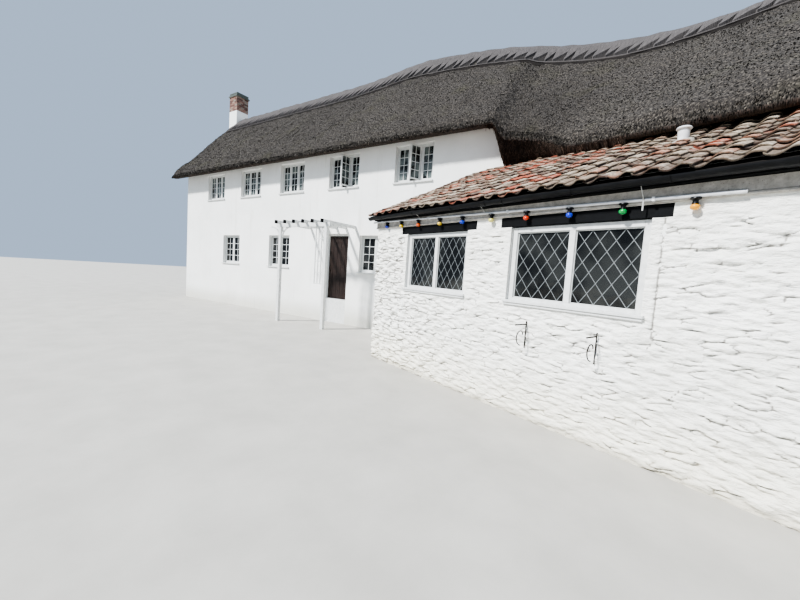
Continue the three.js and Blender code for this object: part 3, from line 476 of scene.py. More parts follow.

# %% [markdown]
# ## Finishes
# Each real surface has its own colours, grain and wear. Limewash is nearly white, greyer
# where rain runs and greener near the ground. Rough stone is darker in its joints, with dirt
# and painted shade, so its colour follows a value that the shape itself stores at each point.


# %% Limewash and painted stone
def limewash():
    """Two near whites in clouds, grey runs, and a greenish foot."""
    finish = Finish("limewash", Roughness=0.88)
    broad = finish.noise(finish.place(), 0.7, 5)
    runs = finish.noise(finish.place((5, 5, 0.5)), 1.0, 5)
    lumps = finish.noise(finish.place(), 9.0, 6)
    colour = finish.ramp(broad, (0.3, "e6e6e2"), (0.7, "f3f3f0"))
    colour = finish.over(colour, runs, 0.56, 0.78, 0.3, "bebcb2")
    colour = finish.near_ground(colour, 0.05, 0.7, 0.45, "a4a08c")
    return finish.end(colour, height=lumps, distance=0.006)


def painted_stone():
    """Warm whites with specks, flat chips, runs, joints darkened with dirt and painted shade, and a yellowed and
    dirty foot.
    """
    finish = Finish("painted_stone", Roughness=0.85)
    broad = finish.noise(finish.place(), 1.1, 6)
    specks = finish.noise(finish.place(), 60.0, 4)
    runs = finish.noise(finish.place((6, 6, 0.7)), 1.0, 5)
    chips = finish.noise(finish.place((14, 14, 40)), 1.0, 5, 0.65)
    colour = finish.ramp(broad, (0.3, "e8e7e0"), (0.72, "f5f4ef"))
    colour = finish.over(colour, specks, 0.66, 0.76, 0.3, "a9a496")
    colour = finish.over(colour, chips, 0.6, 0.74, 0.3, "b5b1a4")
    colour = finish.over(colour, runs, 0.58, 0.8, 0.25, "bdbaac")
    # Painted shade and dirt: the joints and cracks that the skin marks are darkened.
    colour = finish.over(colour, finish.mark("shade_and_dirt"), 0.35, 0.95, 0.75, "68625a")
    colour = finish.near_ground(colour, 0.1, 0.9, 0.35, "e0d8bd")
    colour = finish.near_ground(colour, 0.0, 0.12, 0.5, "958d78")
    lumps = finish.noise(finish.place((8, 8, 22)), 1.0, 5, 0.6)
    grain = finish.noise(finish.place(), 38.0, 6)
    return finish.end(colour, height=lumps + grain * 0.2, distance=0.032)


LIMEWASH = limewash()
STONE = painted_stone()
print("finishes", LIMEWASH.name, STONE.name)

# %% [markdown]
# Reed is laid with its cut ends showing, so a thatched slope is a field of dark and pale
# specks, drawn out a little down the slope. The pattern follows the roof's own UV map:
# metres along the ridge, and metres down the slope.


# %% Thatch, ridge and loose reeds
def reed_coat():
    """Specks and strands, darker in patches, a little moss, and brown stalks on the cut face and the underside,
    darkened there as painted shade.
    """
    finish = Finish("reed_coat", Roughness=0.97)
    specks = finish.noise(finish.lay((27, 25, 1)), 1.0, 3, 0.7)
    strands = finish.noise(finish.lay((62, 34, 1)), 1.0, 3, 0.6)
    stalks = finish.noise(finish.lay((110, 4, 1)), 1.0, 3, 0.6)
    patches = finish.noise(finish.place(), 0.45, 5)
    moss = finish.noise(finish.place(), 1.3, 5)
    colour = finish.ramp(specks * 0.7 + strands * 0.3, (0.36, "151312"), (0.62, "6d675f"), (0.5, "3b3733"))
    colour = finish.over(colour, patches, 0.4, 0.7, 0.3, "312d2a")
    colour = finish.over(colour, moss, 0.5, 0.75, 0.22, "4f4e36")
    # Cut face and underside: brown stalks, made darker as painted shade under the overhang.
    stalks_and_shade = finish.ramp(stalks, (0.38, "1c1816"), (0.66, "584a42"))
    colour = finish.mix(finish.mark("cut") * 0.9, colour, stalks_and_shade)
    return finish.end(colour, height=specks * 0.6 + strands * 0.4, distance=0.025)


def ridge_straw():
    """Long pale strands up and over the ridge; the layer under the points is near black as painted shade."""
    finish = Finish("ridge_straw", Roughness=0.95)
    strands = finish.noise(finish.lay((120, 5, 1)), 1.0, 4, 0.6)
    patches = finish.noise(finish.place(), 0.9, 5)
    colour = finish.ramp(strands, (0.3, "363332"), (0.7, "6e6967"))
    colour = finish.over(colour, patches, 0.45, 0.75, 0.4, "474442")
    # Painted shade: the underlayer, seen in the gaps between the points, is darkened.
    colour = finish.mix(finish.mark("cut") * 0.85, colour, "1f1b18")
    return finish.end(colour, height=strands, distance=0.012)


def stalks_of(name, *stops):
    """Loose stalks: each has one tone, which its piece stores."""
    finish = Finish(name, Roughness=0.9)
    return finish.end(finish.ramp(finish.mark("tone"), *stops))


REED = reed_coat()
RIDGE_STRAW = ridge_straw()
LOOSE_REED = stalks_of("loose_reed", (0.0, "171513"), (1.0, "8f877b"), (0.45, "3d3935"), (0.75, "5f5950"))
BROWN_STALKS = stalks_of("brown_stalks", (0.0, "1d1916"), (1.0, "907c6d"), (0.5, "52463e"))
print("finishes", REED.name, RIDGE_STRAW.name, LOOSE_REED.name, BROWN_STALKS.name)


# %% [markdown]
# No two old tiles have the same tone, so each tile stores its own number, and lichen and
# soot lie over all of them. The smaller finishes differ only in their two tones, their
# grain and their gloss, so that a few functions make them all.


# %% Clay and painted timber
def clay():
    """Each tile has its own tone, from dark brown over pale to red, with lichen and soot on it, and painted shade in
    its pan and on its lower rim.
    """
    finish = Finish("old_clay", Roughness=0.9)
    fine = finish.noise(finish.place(), 45.0, 5, 0.65)
    blotch = finish.noise(finish.place(), 7.0, 5, 0.6)
    colour = finish.ramp(finish.mark("tone"), (0.0, "40302a"), (1.0, "b45a42"), (0.2, "735b4e"), (0.45, "958473"),
                         (0.7, "ac9e8c"), (0.86, "a87c66"))
    colour = finish.over(colour, blotch + fine * 0.5, 0.7, 0.95, 0.7, "d2cab8")
    colour = finish.over(colour, fine, 0.49, 0.64, 0.7, "463a33")
    # Painted shade: near black in each tile's pan, on its rim and on its underside.
    colour = finish.mix(finish.mark("shade_and_dirt") * 0.9, colour, "1a1613")
    return finish.end(colour, height=fine, distance=0.004)


def timber(name, dark, pale, roughness, wear, worn, **constants):
    """Paint with faint grain; wear of 0 to 1 lets the worn colour through in specks."""
    finish = Finish(name, Roughness=roughness, **constants)
    grain = finish.noise(finish.place(), 14.0, 6, 0.7)
    fine = finish.noise(finish.place(), 70.0, 4)
    colour = finish.over(finish.ramp(grain, (0.3, dark), (0.7, pale)), fine, 0.6, 0.72, wear, worn)
    return finish.end(colour, height=fine, distance=0.0015)


CLAY = clay()
WHITE_PAINT = timber("white_paint", "cbccca", "e2e3e0", 0.42, 0.3, "918d83")
BLACK_PAINT = timber("black_paint", "08090b", "121417", 0.7, 0.3, "262423", Specular_IOR_Level=0.25)
GREY_PAINT = timber("grey_paint", "96918a", "c6c2ba", 0.8, 0.6, "665f56")
DOOR_PAINT = timber("door_paint", "1c1310", "33231c", 0.5, 0.3, "4d3a2f")
print("finishes", len(bpy.data.materials))


# %% Glass, metal, plastic and mortar
def glass(name, dark, pale, size):
    """Old panes: some are dark, and some hold a pale painted reflection of daylight."""
    finish = Finish(name, Roughness=0.06, Alpha=0.8)
    # Painted reflection: the pale tone stands in for daylight on the glass.
    colour = finish.ramp(finish.noise(finish.place(), size, 3), (0.42, dark), (0.6, pale))
    return finish.end(colour, height=finish.noise(finish.place(), 3.0, 2), distance=0.004)


def plain(name, dark, pale, roughness, size, metal=0.0, bump=0.001, **constants):
    """A finish of two close tones with fine dirt."""
    finish = Finish(name, Roughness=roughness, Metallic=metal, **constants)
    grain = finish.noise(finish.place(), size, 5, 0.6)
    return finish.end(finish.ramp(grain, (0.32, dark), (0.68, pale)), height=grain, distance=bump)


def from_mark(name, roughness, **constants):
    """The colour is the piece's own colour at each point, a little dirtier in places."""
    finish = Finish(name, Roughness=roughness, **constants)
    own = finish.node("ShaderNodeAttribute", {"attribute_name": "paint"}, output=0)
    dirt = finish.noise(finish.place(), 30.0, 5)
    return finish.end(finish.over(own, dirt, 0.5, 0.8, 0.35, "3b342e"), height=dirt)


STRAP = plain("worn_strap", "8c8c88", "c0c0bc", 0.5, 30.0)
# Both glasses carry a painted reflection in their pale tone.
GLASS = glass("old_glass", "191a1a", "3d3e3c", 2.0)
SKY_GLASS = glass("sky_glass", "202324", "7f8886", 3.4)
BLACK_PLASTIC = plain("black_plastic", "0b0c0e", "17181b", 0.42, 9.0, Specular_IOR_Level=0.35)
WHITE_PLASTIC = plain("white_plastic", "d0d1d1", "e8e9ea", 0.35, 12.0)
LEAD = plain("window_lead", "5e6263", "878a8a", 0.5, 40.0)
IRON = plain("black_iron", "151413", "3a2f29", 0.6, 30.0, metal=0.6)
FELT = plain("roof_felt", "141312", "2b2723", 0.95, 20.0)
MORTAR = plain("mortar", "8f8a80", "b5afa3", 0.95, 60.0, bump=0.004)
BRICK = from_mark("brick_face", 0.9)
BULB = from_mark("bulb_glass", 0.18, Coat_Weight=0.6)
print("finishes", len(bpy.data.materials))

# %% [markdown]
# The floors are seen only through the windows. Boards could be boxes, as on the door, but
# here Blender's brick pattern with long, low bricks draws them on the flat solid.


# %% Floor boards
def boards():
    """Boards 150 mm wide: the plank number gives each its own tone, and a dark line is the joint."""
    finish = Finish("floor_boards", Roughness=0.7)
    wide = finish.node("ShaderNodeTexBrick", {"offset": 0.5, "squash": 1.0},
                       {"Vector": finish.place(), "Color1": paint("6e5942"), "Color2": paint("54422f"),
                        "Mortar": paint("1d1712"), "Scale": 1.0, "Mortar Size": 0.004, "Brick Width": 2.4,
                        "Row Height": 0.15})
    grain = finish.noise(finish.place((3, 40, 3)), 1.0, 5)
    return finish.end(finish.mix(grain * 0.5, wide, "3d3024"), height=grain, distance=0.001)


FLOOR_BOARDS = boards()
print("finish", FLOOR_BOARDS.name)

# %% [markdown]
# ## The solids that stay
# The flat walls, the floors, the stack, the gutter and the door already have their right
# shapes. They only need a finish, so each takes one in its material slot.

# %% Finishes on the solids
KEPT = (
    (LIMEWASH, ["left_front_wall_right_of_door", "left_front_wall_over_door", "left_front_wall_left_of_door",
                "left_gable_wall", "left_back_wall", "right_front_wall", "right_gable_wall", "right_back_wall",
                "lean_to_front_wall", "lean_to_left_end_wall", "lean_to_right_end_wall", "chimney_stack"]),
    (FLOOR_BOARDS, ["ground_floor_left", "ground_floor_right", "first_floor_left", "first_floor_right",
                    "lean_to_floor"]),
    (GLASS, ["left_back_glass_upper", "left_back_glass_lower", "right_back_glass"]),
    (WHITE_PAINT, ["front_door_frame", "porch_frame", "porch_trellis"]),
    (DOOR_PAINT, ["front_door"]), (MORTAR, ["chimney_brick_top"]),
    (BLACK_PAINT, ["lean_to_fascia"]), (BLACK_PLASTIC, ["lean_to_gutter"]),
)
for material, nodes in KEPT:
    for node in nodes:
        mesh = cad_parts[node].data
        mesh.materials.clear()
        mesh.materials.append(material)
print("finished solids", sum(len(nodes) for _, nodes in KEPT))

# %% [markdown]
# ## The reed coat
# A section through the roof is a bent line from the ridge down the street side, round the
# lip, back under it, and up again on the other side. Every station along the ridge has
# such a section. Its corners are worked out first, then points are spread along it and
# smoothed, so that the lip comes out round as a cut and combed eave does.

# %% Heights of the roof
RIDGE_LEFT, RIDGE_RIGHT = 8.65, 7.4
RIDGE_DROP = (-3.7, 3.3)
HUMP = {"at": -5.2, "half": 1.6, "rise": 0.19}
SWELLS = [(1.9, 0.35, 0.4), (2.3, 1.3, 2.1), (1.6, 2.5, 4.0)]
SWELL_HIGH = 0.024
LIP_LEFT, LIP_RIGHT = 5.15, 4.31
REACH_LEFT, REACH_TILES = 3.05, 4.15
UNDER_REACH = 2.62
TILE_TOP, TILE_RISE = 2.925, 0.48
OVER_TILES = 0.03
EAVE_STEP = {"from": -1.5, "long": 0.3}
EAVE_SPREAD = (-0.5, 4.4)
BUTT = {"thin": 0.12, "thick": 0.64, "full_at": -1.2, "gone_at": 1.5}
FOOT_REACH = 2.9
SHOULDER = (0.15, 0.32)
CAP_REACH = 0.72
LEFT_END_S, RIGHT_END_S = -15.877, 7.736


def blend(low, high, t):
    """low × (1 - t) + high × t."""
    return low + (high - low) * t


def ridge_height(s):
    """The ridge falls from left to right in one smooth step, with a low hump before it."""
    hump = HUMP["rise"] * np.exp(-((s - HUMP["at"]) / HUMP["half"]) ** 2)
    return blend(RIDGE_LEFT, RIDGE_RIGHT, smooth_step(s, *RIDGE_DROP)) + hump


def back_eave(s):
    """Height of the back lip, which falls where the ridge does."""
    return blend(LIP_LEFT, LIP_RIGHT, smooth_step(s, *RIDGE_DROP))


def swell(s, d, t):
    """Long soft waves of the coat: the sum of three sines of (s cos a + d sin a), which fade out at
    the ridge's edge (t = 0) and at the shoulder (t = 1)."""
    total = sum(np.sin((s * math.cos(a) + d * math.sin(a)) * 2 * math.pi / length + phase)
                for length, a, phase in SWELLS)
    return SWELL_HIGH * total * smooth_step(t, 0, 0.25) * (1 - smooth_step(t, 0.75, 1))


def tile_top(y):
    """Height of the tiled slope: it rises evenly from the eave."""
    return TILE_TOP + TILE_RISE * y


def over_tiles(s, d):
    """Height just over the tiles at distance d in front of the ridge."""
    return tile_top(on_roof(s, -d, 0.0)[..., 1]) + OVER_TILES


def street_eave(s):
    """Reach and height of the lip, of the foot of its cut face, and of the underside at the wall.
    The eave steps down from the left range onto the tiles and reaches further out over them."""
    step = np.clip((s - EAVE_STEP["from"]) / EAVE_STEP["long"], 0, 1)
    reach = blend(REACH_LEFT, REACH_TILES, smooth_step(s, *EAVE_SPREAD))
    fade = np.clip((BUTT["gone_at"] - s) / (BUTT["gone_at"] - BUTT["full_at"]), 0, 1)
    butt = blend(BUTT["thin"], BUTT["thick"], fade)
    foot_reach = blend(FOOT_REACH, reach - 0.1, step)
    lip = blend(LIP_LEFT, over_tiles(s, reach) + butt, step)
    foot = blend(LIP_LEFT + 0.01, over_tiles(s, foot_reach), step)
    under = blend(LIP_LEFT + 0.02, over_tiles(s, UNDER_REACH), step)
    return reach, lip, foot_reach, foot, under


print("tiles meet the thatch at", np.round(over_tiles(np.array([0.0, 2.0, 4.0]), 3.5), 2))


# %% The section and its points
def section_corners(s):
    """Corners (d, z) of the section at each s, from the ridge round the street side to the back."""
    reach, lip, foot_reach, foot, under = street_eave(s)
    ridge, back_lip = ridge_height(s), back_eave(s)
    none = np.zeros_like(s)
    corners = [
        (none, ridge),
        (SHOULDER[0] - reach, lip + SHOULDER[1]),
        (-reach, lip),
        (-foot_reach, foot),
        (none - UNDER_REACH, under),
        (none, ridge - 0.55),
        (none + UNDER_REACH, back_lip + 0.02),
        (none + FOOT_REACH, back_lip + 0.01),
        (none + REACH_LEFT, back_lip),
        (none + REACH_LEFT - SHOULDER[0], back_lip + SHOULDER[1]),
        (none, ridge),
    ]
    return np.array([[np.broadcast_to(d, s.shape), np.broadcast_to(z, s.shape)] for d, z in corners])


SPREAD = [72, 8, 5, 3, 6, 6, 2, 3, 6, 46]
LIP_ROW = sum(SPREAD[:2])
CLOSE_STATIONS = (-1.66, -1.04, 0.03)
stations = np.unique(np.round(np.concatenate([
    np.linspace(LEFT_END_S, -1.7, 236), np.arange(*CLOSE_STATIONS), np.linspace(-1.0, RIGHT_END_S, 148)]), 4))


def reed_surface(s):
    """Points of the coat: the corners with equal steps between them, smoothed three times along the
    section as (before + 2 × point + after) / 4, then lifted by swells and ripples along the outer
    face. The stations stand closer together where the eave steps down."""
    corners = section_corners(s)
    steps = np.concatenate([k + np.arange(n) / n for k, n in enumerate(SPREAD)])
    k = steps.astype(int)
    t = (steps - k)[:, None, None]
    line = corners[k] * (1 - t) + corners[k + 1] * t
    for _ in range(3):
        line = (np.roll(line, 1, 0) + 2 * line + np.roll(line, -1, 0)) / 4
    length = np.cumsum(np.hypot(*np.moveaxis(np.diff(line, axis=0, append=line[:1]), 1, 0)), 0)
    down = np.minimum(length, length[-1] - length)
    outer = ((k < 1) | (k >= 9)).astype(float)[:, None]
    along = np.broadcast_to(s, down.shape)
    slope_end = np.where(line[:, 0] < 0, street_eave(s)[0], REACH_LEFT) - SHOULDER[0]
    t = (np.abs(line[:, 0]) - CAP_REACH) / (slope_end - CAP_REACH)
    line[:, 1] += swell(along, line[:, 0], t) * outer
    ahead = np.roll(line, -1, 0) - np.roll(line, 1, 0)
    normal = np.stack([ahead[:, 1], -ahead[:, 0]], 1)
    normal /= np.linalg.norm(normal, axis=1, keepdims=True)
    side = np.where(k < 5, 0.0, 40.0)[:, None]
    lumps = 0.011 * ripple(along + side, down, 0.5, 4) + 0.008 * ripple(along + side, down, 0.16, 5, 14)
    skin = ((k < 2) | (k >= 8)).astype(float)[:, None] * smooth_step(down, 0.1, 0.6)
    line = line - normal * (lumps * skin)[:, None]
    # Marks the cut face and the underside, which the finish darkens, partly as painted shade.
    cut = np.where((k >= 2) & (k < 9), 1.0, 0.0)[:, None] * np.ones_like(down)
    return on_roof(s, line[:, 0], line[:, 1]), along, down, cut


coat, coat_s, coat_down, coat_cut = reed_surface(stations)
rows, columns = coat.shape[:2]
piece("thatch_coat", tube(np.swapaxes(coat, 0, 1)), REED, "thatch",
      nodes=["thatch_left_front", "thatch_left_back", "thatch_right_front", "thatch_right_back"], smooth=50,
      lay=np.stack([coat_s.T.ravel(), coat_down.T.ravel()], 1), marks={"cut": coat_cut.T.ravel()})

# %% [markdown]
# A real coat is bristly. Hair could grow on it, but hair is no mesh and can't be handed on.
# So each of the thousands of short reed ends is a thin wedge of four faces: two points at
# its root, one under it, and a tip further down the slope. They are rooted at random places
# of the surface just made, so they follow every ripple.


# %% Loose reed ends
def reed_ends(name, first, last, count, length, wide, rise, seed, between=(-99, 99), material=LOOSE_REED):
    """Wedges rooted between two rows of the coat and two stations. Tip = root + down the slope ×
    length + out × rise, swung a little sideways. Above the lip, out never points down."""
    draw = np.random.default_rng(seed)
    i = draw.integers(first, last, count)
    j = draw.integers(*np.clip(np.searchsorted(stations, between), 0, columns - 1), count)
    a, b = draw.random((2, count, 1))
    near, far = coat[i, j] * (1 - b) + coat[i, j + 1] * b, coat[i + 1, j] * (1 - b) + coat[i + 1, j + 1] * b
    root = near * (1 - a) + far * a
    down = far - near
    down /= np.linalg.norm(down, axis=1, keepdims=True)
    across = coat[i, j + 1] - coat[i, j]
    out = np.cross(across, down)
    out /= np.linalg.norm(out, axis=1, keepdims=True)
    out *= np.where(out[:, 2] < 0, -1.0, 1.0)[:, None] if last < LIP_ROW else 1.0
    side = np.cross(down, out)
    reach = length * draw.uniform(0.5, 1.3, (count, 1))
    swing = draw.normal(0, 0.25, (count, 1))
    half = wide * draw.uniform(0.4, 1.0, (count, 1)) / 2
    tip = root + down * reach + side * reach * swing + out * rise * draw.uniform(0.3, 1.2, (count, 1))
    points = np.stack([root - side * half, root + side * half, root - out * 0.02, tip], 1).reshape(-1, 3)
    faces = repeated(np.array([[0, 1, 3], [1, 2, 3], [2, 0, 3], [1, 0, 2]]), count, 4)
    tone = np.repeat(draw.beta(1.6, 2.4, count), 4)
    piece(name, (points, faces), material, "thatch", marks={"tone": tone})


RIDGE_ROWS = 8
reed_ends("reed_ends_street", RIDGE_ROWS, LIP_ROW - 1, 40000, 0.045, 0.02, 0.018, 11)
reed_ends("reed_ends_back", rows - SPREAD[-1], rows - RIDGE_ROWS, 12000, 0.12, 0.03, 0.03, 12)
reed_ends("reed_ends_lip", LIP_ROW - 4, LIP_ROW + 1, 6000, 0.04, 0.016, 0.006, 13)
reed_ends("reed_ends_butt", LIP_ROW, LIP_ROW + 6, 7000, 0.12, 0.014, 0.012, 14, (CLOSE_STATIONS[0], 2.5),
          BROWN_STALKS)

# %% [markdown]
# ## The ridge
# The ridge is a second, thicker layer, bent over the top. Its lower edge is cut into pairs
# of slanting points, with thin uprights between them, and a rod runs along the bottom. The
# edge is a sawtooth in d, so a grid whose last row follows it has sharp points with few faces.

# %% The ridge layers
TOOTH = {"from": -15.405, "pairs": 42, "pair": 0.54, "long": 0.29, "short": 0.19, "rib": 0.03, "tall": 0.34}
RIDGE_FROM = -15.515
LAYER_ROWS, ROD_SIDES = 25, 6


def tooth_edge(reach):
    """Stations and lower edge: in each tooth the edge climbs evenly from the bottom to the top,
    then drops straight down to a narrow rib."""
    starts = TOOTH["from"] + TOOTH["pair"] * np.arange(TOOTH["pairs"])
    second = starts + TOOTH["long"] + TOOTH["rib"]
    begin = np.sort(np.concatenate([starts, second]))
    width = np.tile([TOOTH["long"], TOOTH["short"]], len(starts))
    s = np.stack([begin, begin + width / 2, begin + width, begin + width + 0.002], 1)
    drop = np.array([0, 0.5, 1, 0]) * TOOTH["tall"]
    edge = reach - np.broadcast_to(drop, s.shape)
    ends = [RIDGE_FROM, RIGHT_END_S]
    return np.concatenate([ends[:1], s.ravel(), ends[1:]]), np.concatenate([[reach], edge.ravel(), [reach]])


def outer_height(s, d):
    """Height of the coat at d in front (below 0) or behind: a straight line from ridge to shoulder."""
    reach, lip = street_eave(s)[:2]
    front = blend(ridge_height(s), lip + SHOULDER[1], -d / (reach - SHOULDER[0]))
    back = blend(ridge_height(s), back_eave(s) + SHOULDER[1], d / (REACH_LEFT - SHOULDER[0]))
    return np.where(d < 0, front, back)


def ridge_layer(name, s, edge, low, high, cut, nodes=()):
    """A shell over the ridge from the back edge to the street edge: height = the coat's + high on
    top and + low below, with the crest rounded off by 0.05 × exp(-(d / 0.12)²)."""
    d = np.linspace(-1, 1, LAYER_ROWS)[:, None] * edge[None]
    s = np.broadcast_to(s, d.shape)
    wave = 0.012 * ripple(s, d, 0.5, 21)
    base = outer_height(s, d) - 0.05 * np.exp(-(d / 0.12) ** 2)
    top = on_roof(s, d, base + high + wave).reshape(-1, 3)
    under = on_roof(s, d, base + low).reshape(-1, 3)
    points, faces, used = shell(top, under, grid_quads(*d.shape))
    lay = np.stack([s.ravel(), d.ravel()], 1)[used]
    piece(name, (points, faces), RIDGE_STRAW, "thatch_ridge", nodes=nodes, smooth=35, lay=lay,
          marks={"cut": np.full(len(points), cut)})


plain_s = np.linspace(RIDGE_FROM, RIGHT_END_S, 240)
# The underlayer is marked for painted shade, so its gaps between the points show dark.
ridge_layer("ridge_underlayer", plain_s, 0 * plain_s + CAP_REACH + 0.05, -0.02, 0.035, 1.0)
ridge_layer("ridge_points", *tooth_edge(CAP_REACH), 0.02, 0.1, 0.0, nodes=["thatch_ridge_left", "thatch_ridge_right"])
for side, name in ((-1, "ridge_rod_street"), (1, "ridge_rod_back")):
    d = 0 * plain_s + side * (CAP_REACH + 0.035)
    rod = sweep(on_roof(plain_s, d, outer_height(plain_s, d) + 0.05), circle(0.022, ROD_SIDES))
    piece(name, rod, RIDGE_STRAW, "thatch_ridge", smooth=60, marks={"cut": np.zeros(len(rod[0]))},
          lay=np.repeat(np.stack([plain_s, 0 * plain_s], 1), ROD_SIDES, 0))

# %% [markdown]
# ## Pantiles
# A pantile is an S in section: a broad hollow and a round roll, which laps over the edge of
# its neighbour. Each row also laps over the row below. One tile is a small grid, and the
# roof is that grid copied to every row and column, with its own slight turn and slip.

# %% The tiles
TILE = {"pitch": 0.222, "gauge": 0.255, "long": 0.34, "wave": 0.047, "thick": 0.017, "lift": 0.03}
TILE_COLUMNS, TILE_ROWS = 38, 15
FIRST_TILE = (-0.12, -0.2)
REDDER_COLUMNS = 16
SLOPE = math.atan(TILE_RISE)
PITCH_AXES = np.array([[1, 0, 0], [0, math.cos(SLOPE), math.sin(SLOPE)], [0, -math.sin(SLOPE), math.cos(SLOPE)]])


def pantiles():
    """u runs across a tile and v up it. Height = wave × ((1 + cos 2 pi (u - 0.72)) / 2) ^ 1.2, plus a
    tilt that lifts the lower end over the next row, plus the lap's thickness at the roll. Tiles that
    would lie inside the walls behind are left out, and the left columns have more red ones."""
    u, v = np.meshgrid(np.linspace(-0.06, 1.05, 12), np.linspace(0, 1, 3))
    roll = ((1 + np.cos(2 * math.pi * (u - 0.72))) / 2) ** 1.2
    height = TILE["wave"] * roll + TILE["lift"] * (1 - v) + TILE["thick"] * smooth_step(u, 0.8, 0.95)
    flat = np.stack([u * TILE["pitch"], v * TILE["long"], height], -1).reshape(-1, 3)
    points, faces, used = shell(flat, flat - [0, 0, TILE["thick"]], grid_quads(3, 12))
    column, row = (grid.ravel() for grid in np.meshgrid(np.arange(TILE_COLUMNS), np.arange(TILE_ROWS)))
    count = len(column)
    tilt, slip, lift = rng.normal(0, 0.02, count), rng.normal(0, 0.008, (count, 2)), rng.normal(0, 0.004, count)
    x = (FIRST_TILE[0] + column * TILE["pitch"] + slip[:, 0])[:, None]
    y = (row * TILE["gauge"] + slip[:, 1])[:, None]
    c, s = np.cos(tilt)[:, None], np.sin(tilt)[:, None]
    a, b, height = points.T
    turned = np.stack([a * c - b * s + x, a * s + b * c + y, height + lift[:, None]], -1)
    turned[..., 2] += 0.01 * ripple(turned[..., 0], turned[..., 1], 2.4, 31) - TILE["wave"]
    placed = turned @ PITCH_AXES + [0, FIRST_TILE[1], tile_top(FIRST_TILE[1])]
    keep = placed[..., 1].min(1) < LEFT_Y - 0.06 + np.maximum(placed[..., 0].mean(1), 0) * math.tan(TURN)
    keep &= placed[..., 1].min(1) < RIGHT_FRONT_Y - 0.1
    redder = (column < REDDER_COLUMNS) * (rng.random(count) < 0.55)
    tone = np.where(redder, rng.choice([0.16, 0.24, 0.9, 0.97], count), rng.beta(2.0, 1.7, count))
    # Painted shade: each tile's pan is marked up to half dark, and its rim and underside fully dark.
    shade_and_dirt = np.clip(1.15 - roll.ravel() * 2.4, 0, 1)[used] * 0.5
    shade_and_dirt[np.arange(len(used)) > used.argmax()] = 1
    return placed[keep].reshape(-1, 3), faces, keep.sum(), len(points), tone[keep], shade_and_dirt


tiles, tile_faces, tile_count, each, tone, shade_and_dirt = pantiles()
piece("pantiles", (tiles, repeated(tile_faces, tile_count, each)), CLAY, "pantiles", nodes=["lean_to_tile_roof"],
      smooth=40, marks={"tone": np.repeat(tone, each), "shade_and_dirt": np.tile(shade_and_dirt, tile_count)})

# %% [markdown]
# Under the tiles lies a thin dark deck, so that no daylight shows between the rolls. The
# real one is felt on battens. Nothing but its darkness is seen, so one flat slab will do.

# %% The deck under the tiles
DECK = {"side": 0.1, "front": -0.17, "under_tiles": 0.065, "thick": 0.02}


def tile_deck():
    """A slab along the slope: top = tile height less 65 mm, and 20 mm thick, cut along both walls."""
    left, right, front = -DECK["side"], LEAN_LENGTH + DECK["side"], DECK["front"]
    meet = (RIGHT_FRONT_Y - LEFT_Y) / math.tan(TURN)
    plan = np.array([[left, front], [right, front], [right, RIGHT_FRONT_Y - 0.002], [meet, RIGHT_FRONT_Y - 0.003],
                     [left, LEFT_Y + left * math.tan(TURN) - 0.002]])
    top = np.column_stack([plan, tile_top(plan[:, 1]) - DECK["under_tiles"]])
    points = np.concatenate([top, top - [0, 0, DECK["thick"]]])
    sides = np.array([[(k + 1) % 5, k, k + 5, (k + 1) % 5 + 5] for k in range(5)])
    return points, [np.arange(5)[None], np.arange(9, 4, -1)[None], sides]


piece("tile_deck", tile_deck(), FELT, "pantiles")

# %% [markdown]
# ## Rough stone under paint
# The lean-to is thin rubble stone under many coats of paint. Its stones lie in level ledges,
# with dark joints that come and go. A skin of points is pushed out by that relief and runs
# round the corners as one surface, with holes for windows and lintels. The back of the
# skin is never seen, so it is a few large flat faces between the same edge points.

# %% Relief of the stone face
GLASS_LOW = 1.515
FRAME_FACE = 0.07
LINTEL = (2.424, 2.554)
LEAN_WINDOWS = [(1.011, 2.283), (3.173, 4.62), (5.85, 7.25)]
PLASTER_FROM = 2.34
STRIP, CRACK_DEPTH, CRACK_WIDTH = 0.105, 0.014, 0.012
STONE_SIZE, STONE_SEED = (0.2, 0.064), 41
FACE_MEAN, FACE_RANGE, JOINT_DEPTH = 0.02, (0.002, 0.037), 0.016


def stone_relief(u, z, calm, seed):
    """Height out of the wall in metres. Each thin stone stands out by its own amount and leans out
    toward its lower edge, so that it ends in a ledge over a narrow joint. A slow mask fills
    many joints with old paint, and calm of 0 leaves a smooth coat. The stone is about twice as
    rough, with more open joints, toward the left corner."""
    rugged = 1 - smooth_step(u, 0.8, 2.8)
    bend = 0.02 * ripple(u, z, 0.8, seed) + 0.008 * ripple(u, z, 0.21, seed + 1)
    inside, number, under = stones(u + bend, z + bend, *STONE_SIZE, seed)
    shown = 0.1 + 0.9 * smooth_step(ripple(u, z * 2.2, 0.3, seed + 2, 14) + 0.45 * rugged, -0.1, 0.8)
    joint = (1 - smooth_step(inside, 0.002, 0.013 + 0.014 * rugged)) * shown
    ledge = 0.012 * (number - 0.5) + 0.02 * np.clip(under, -0.55, 0.55) * shown
    rough = 0.0075 * ripple(u, z * 2.4, 0.24, seed + 3, 16) + 0.0045 * ripple(u, z * 1.6, 0.08, seed + 4, 16)
    rough *= 1 + 1.1 * rugged
    relief = 0.006 * ripple(u, z, 0.6, seed + 5) + ledge + rough - JOINT_DEPTH * joint
    # The second value marks the joints for painted shade and dirt in the paint.
    return np.clip(FACE_MEAN + calm * relief, *FACE_RANGE), joint * calm


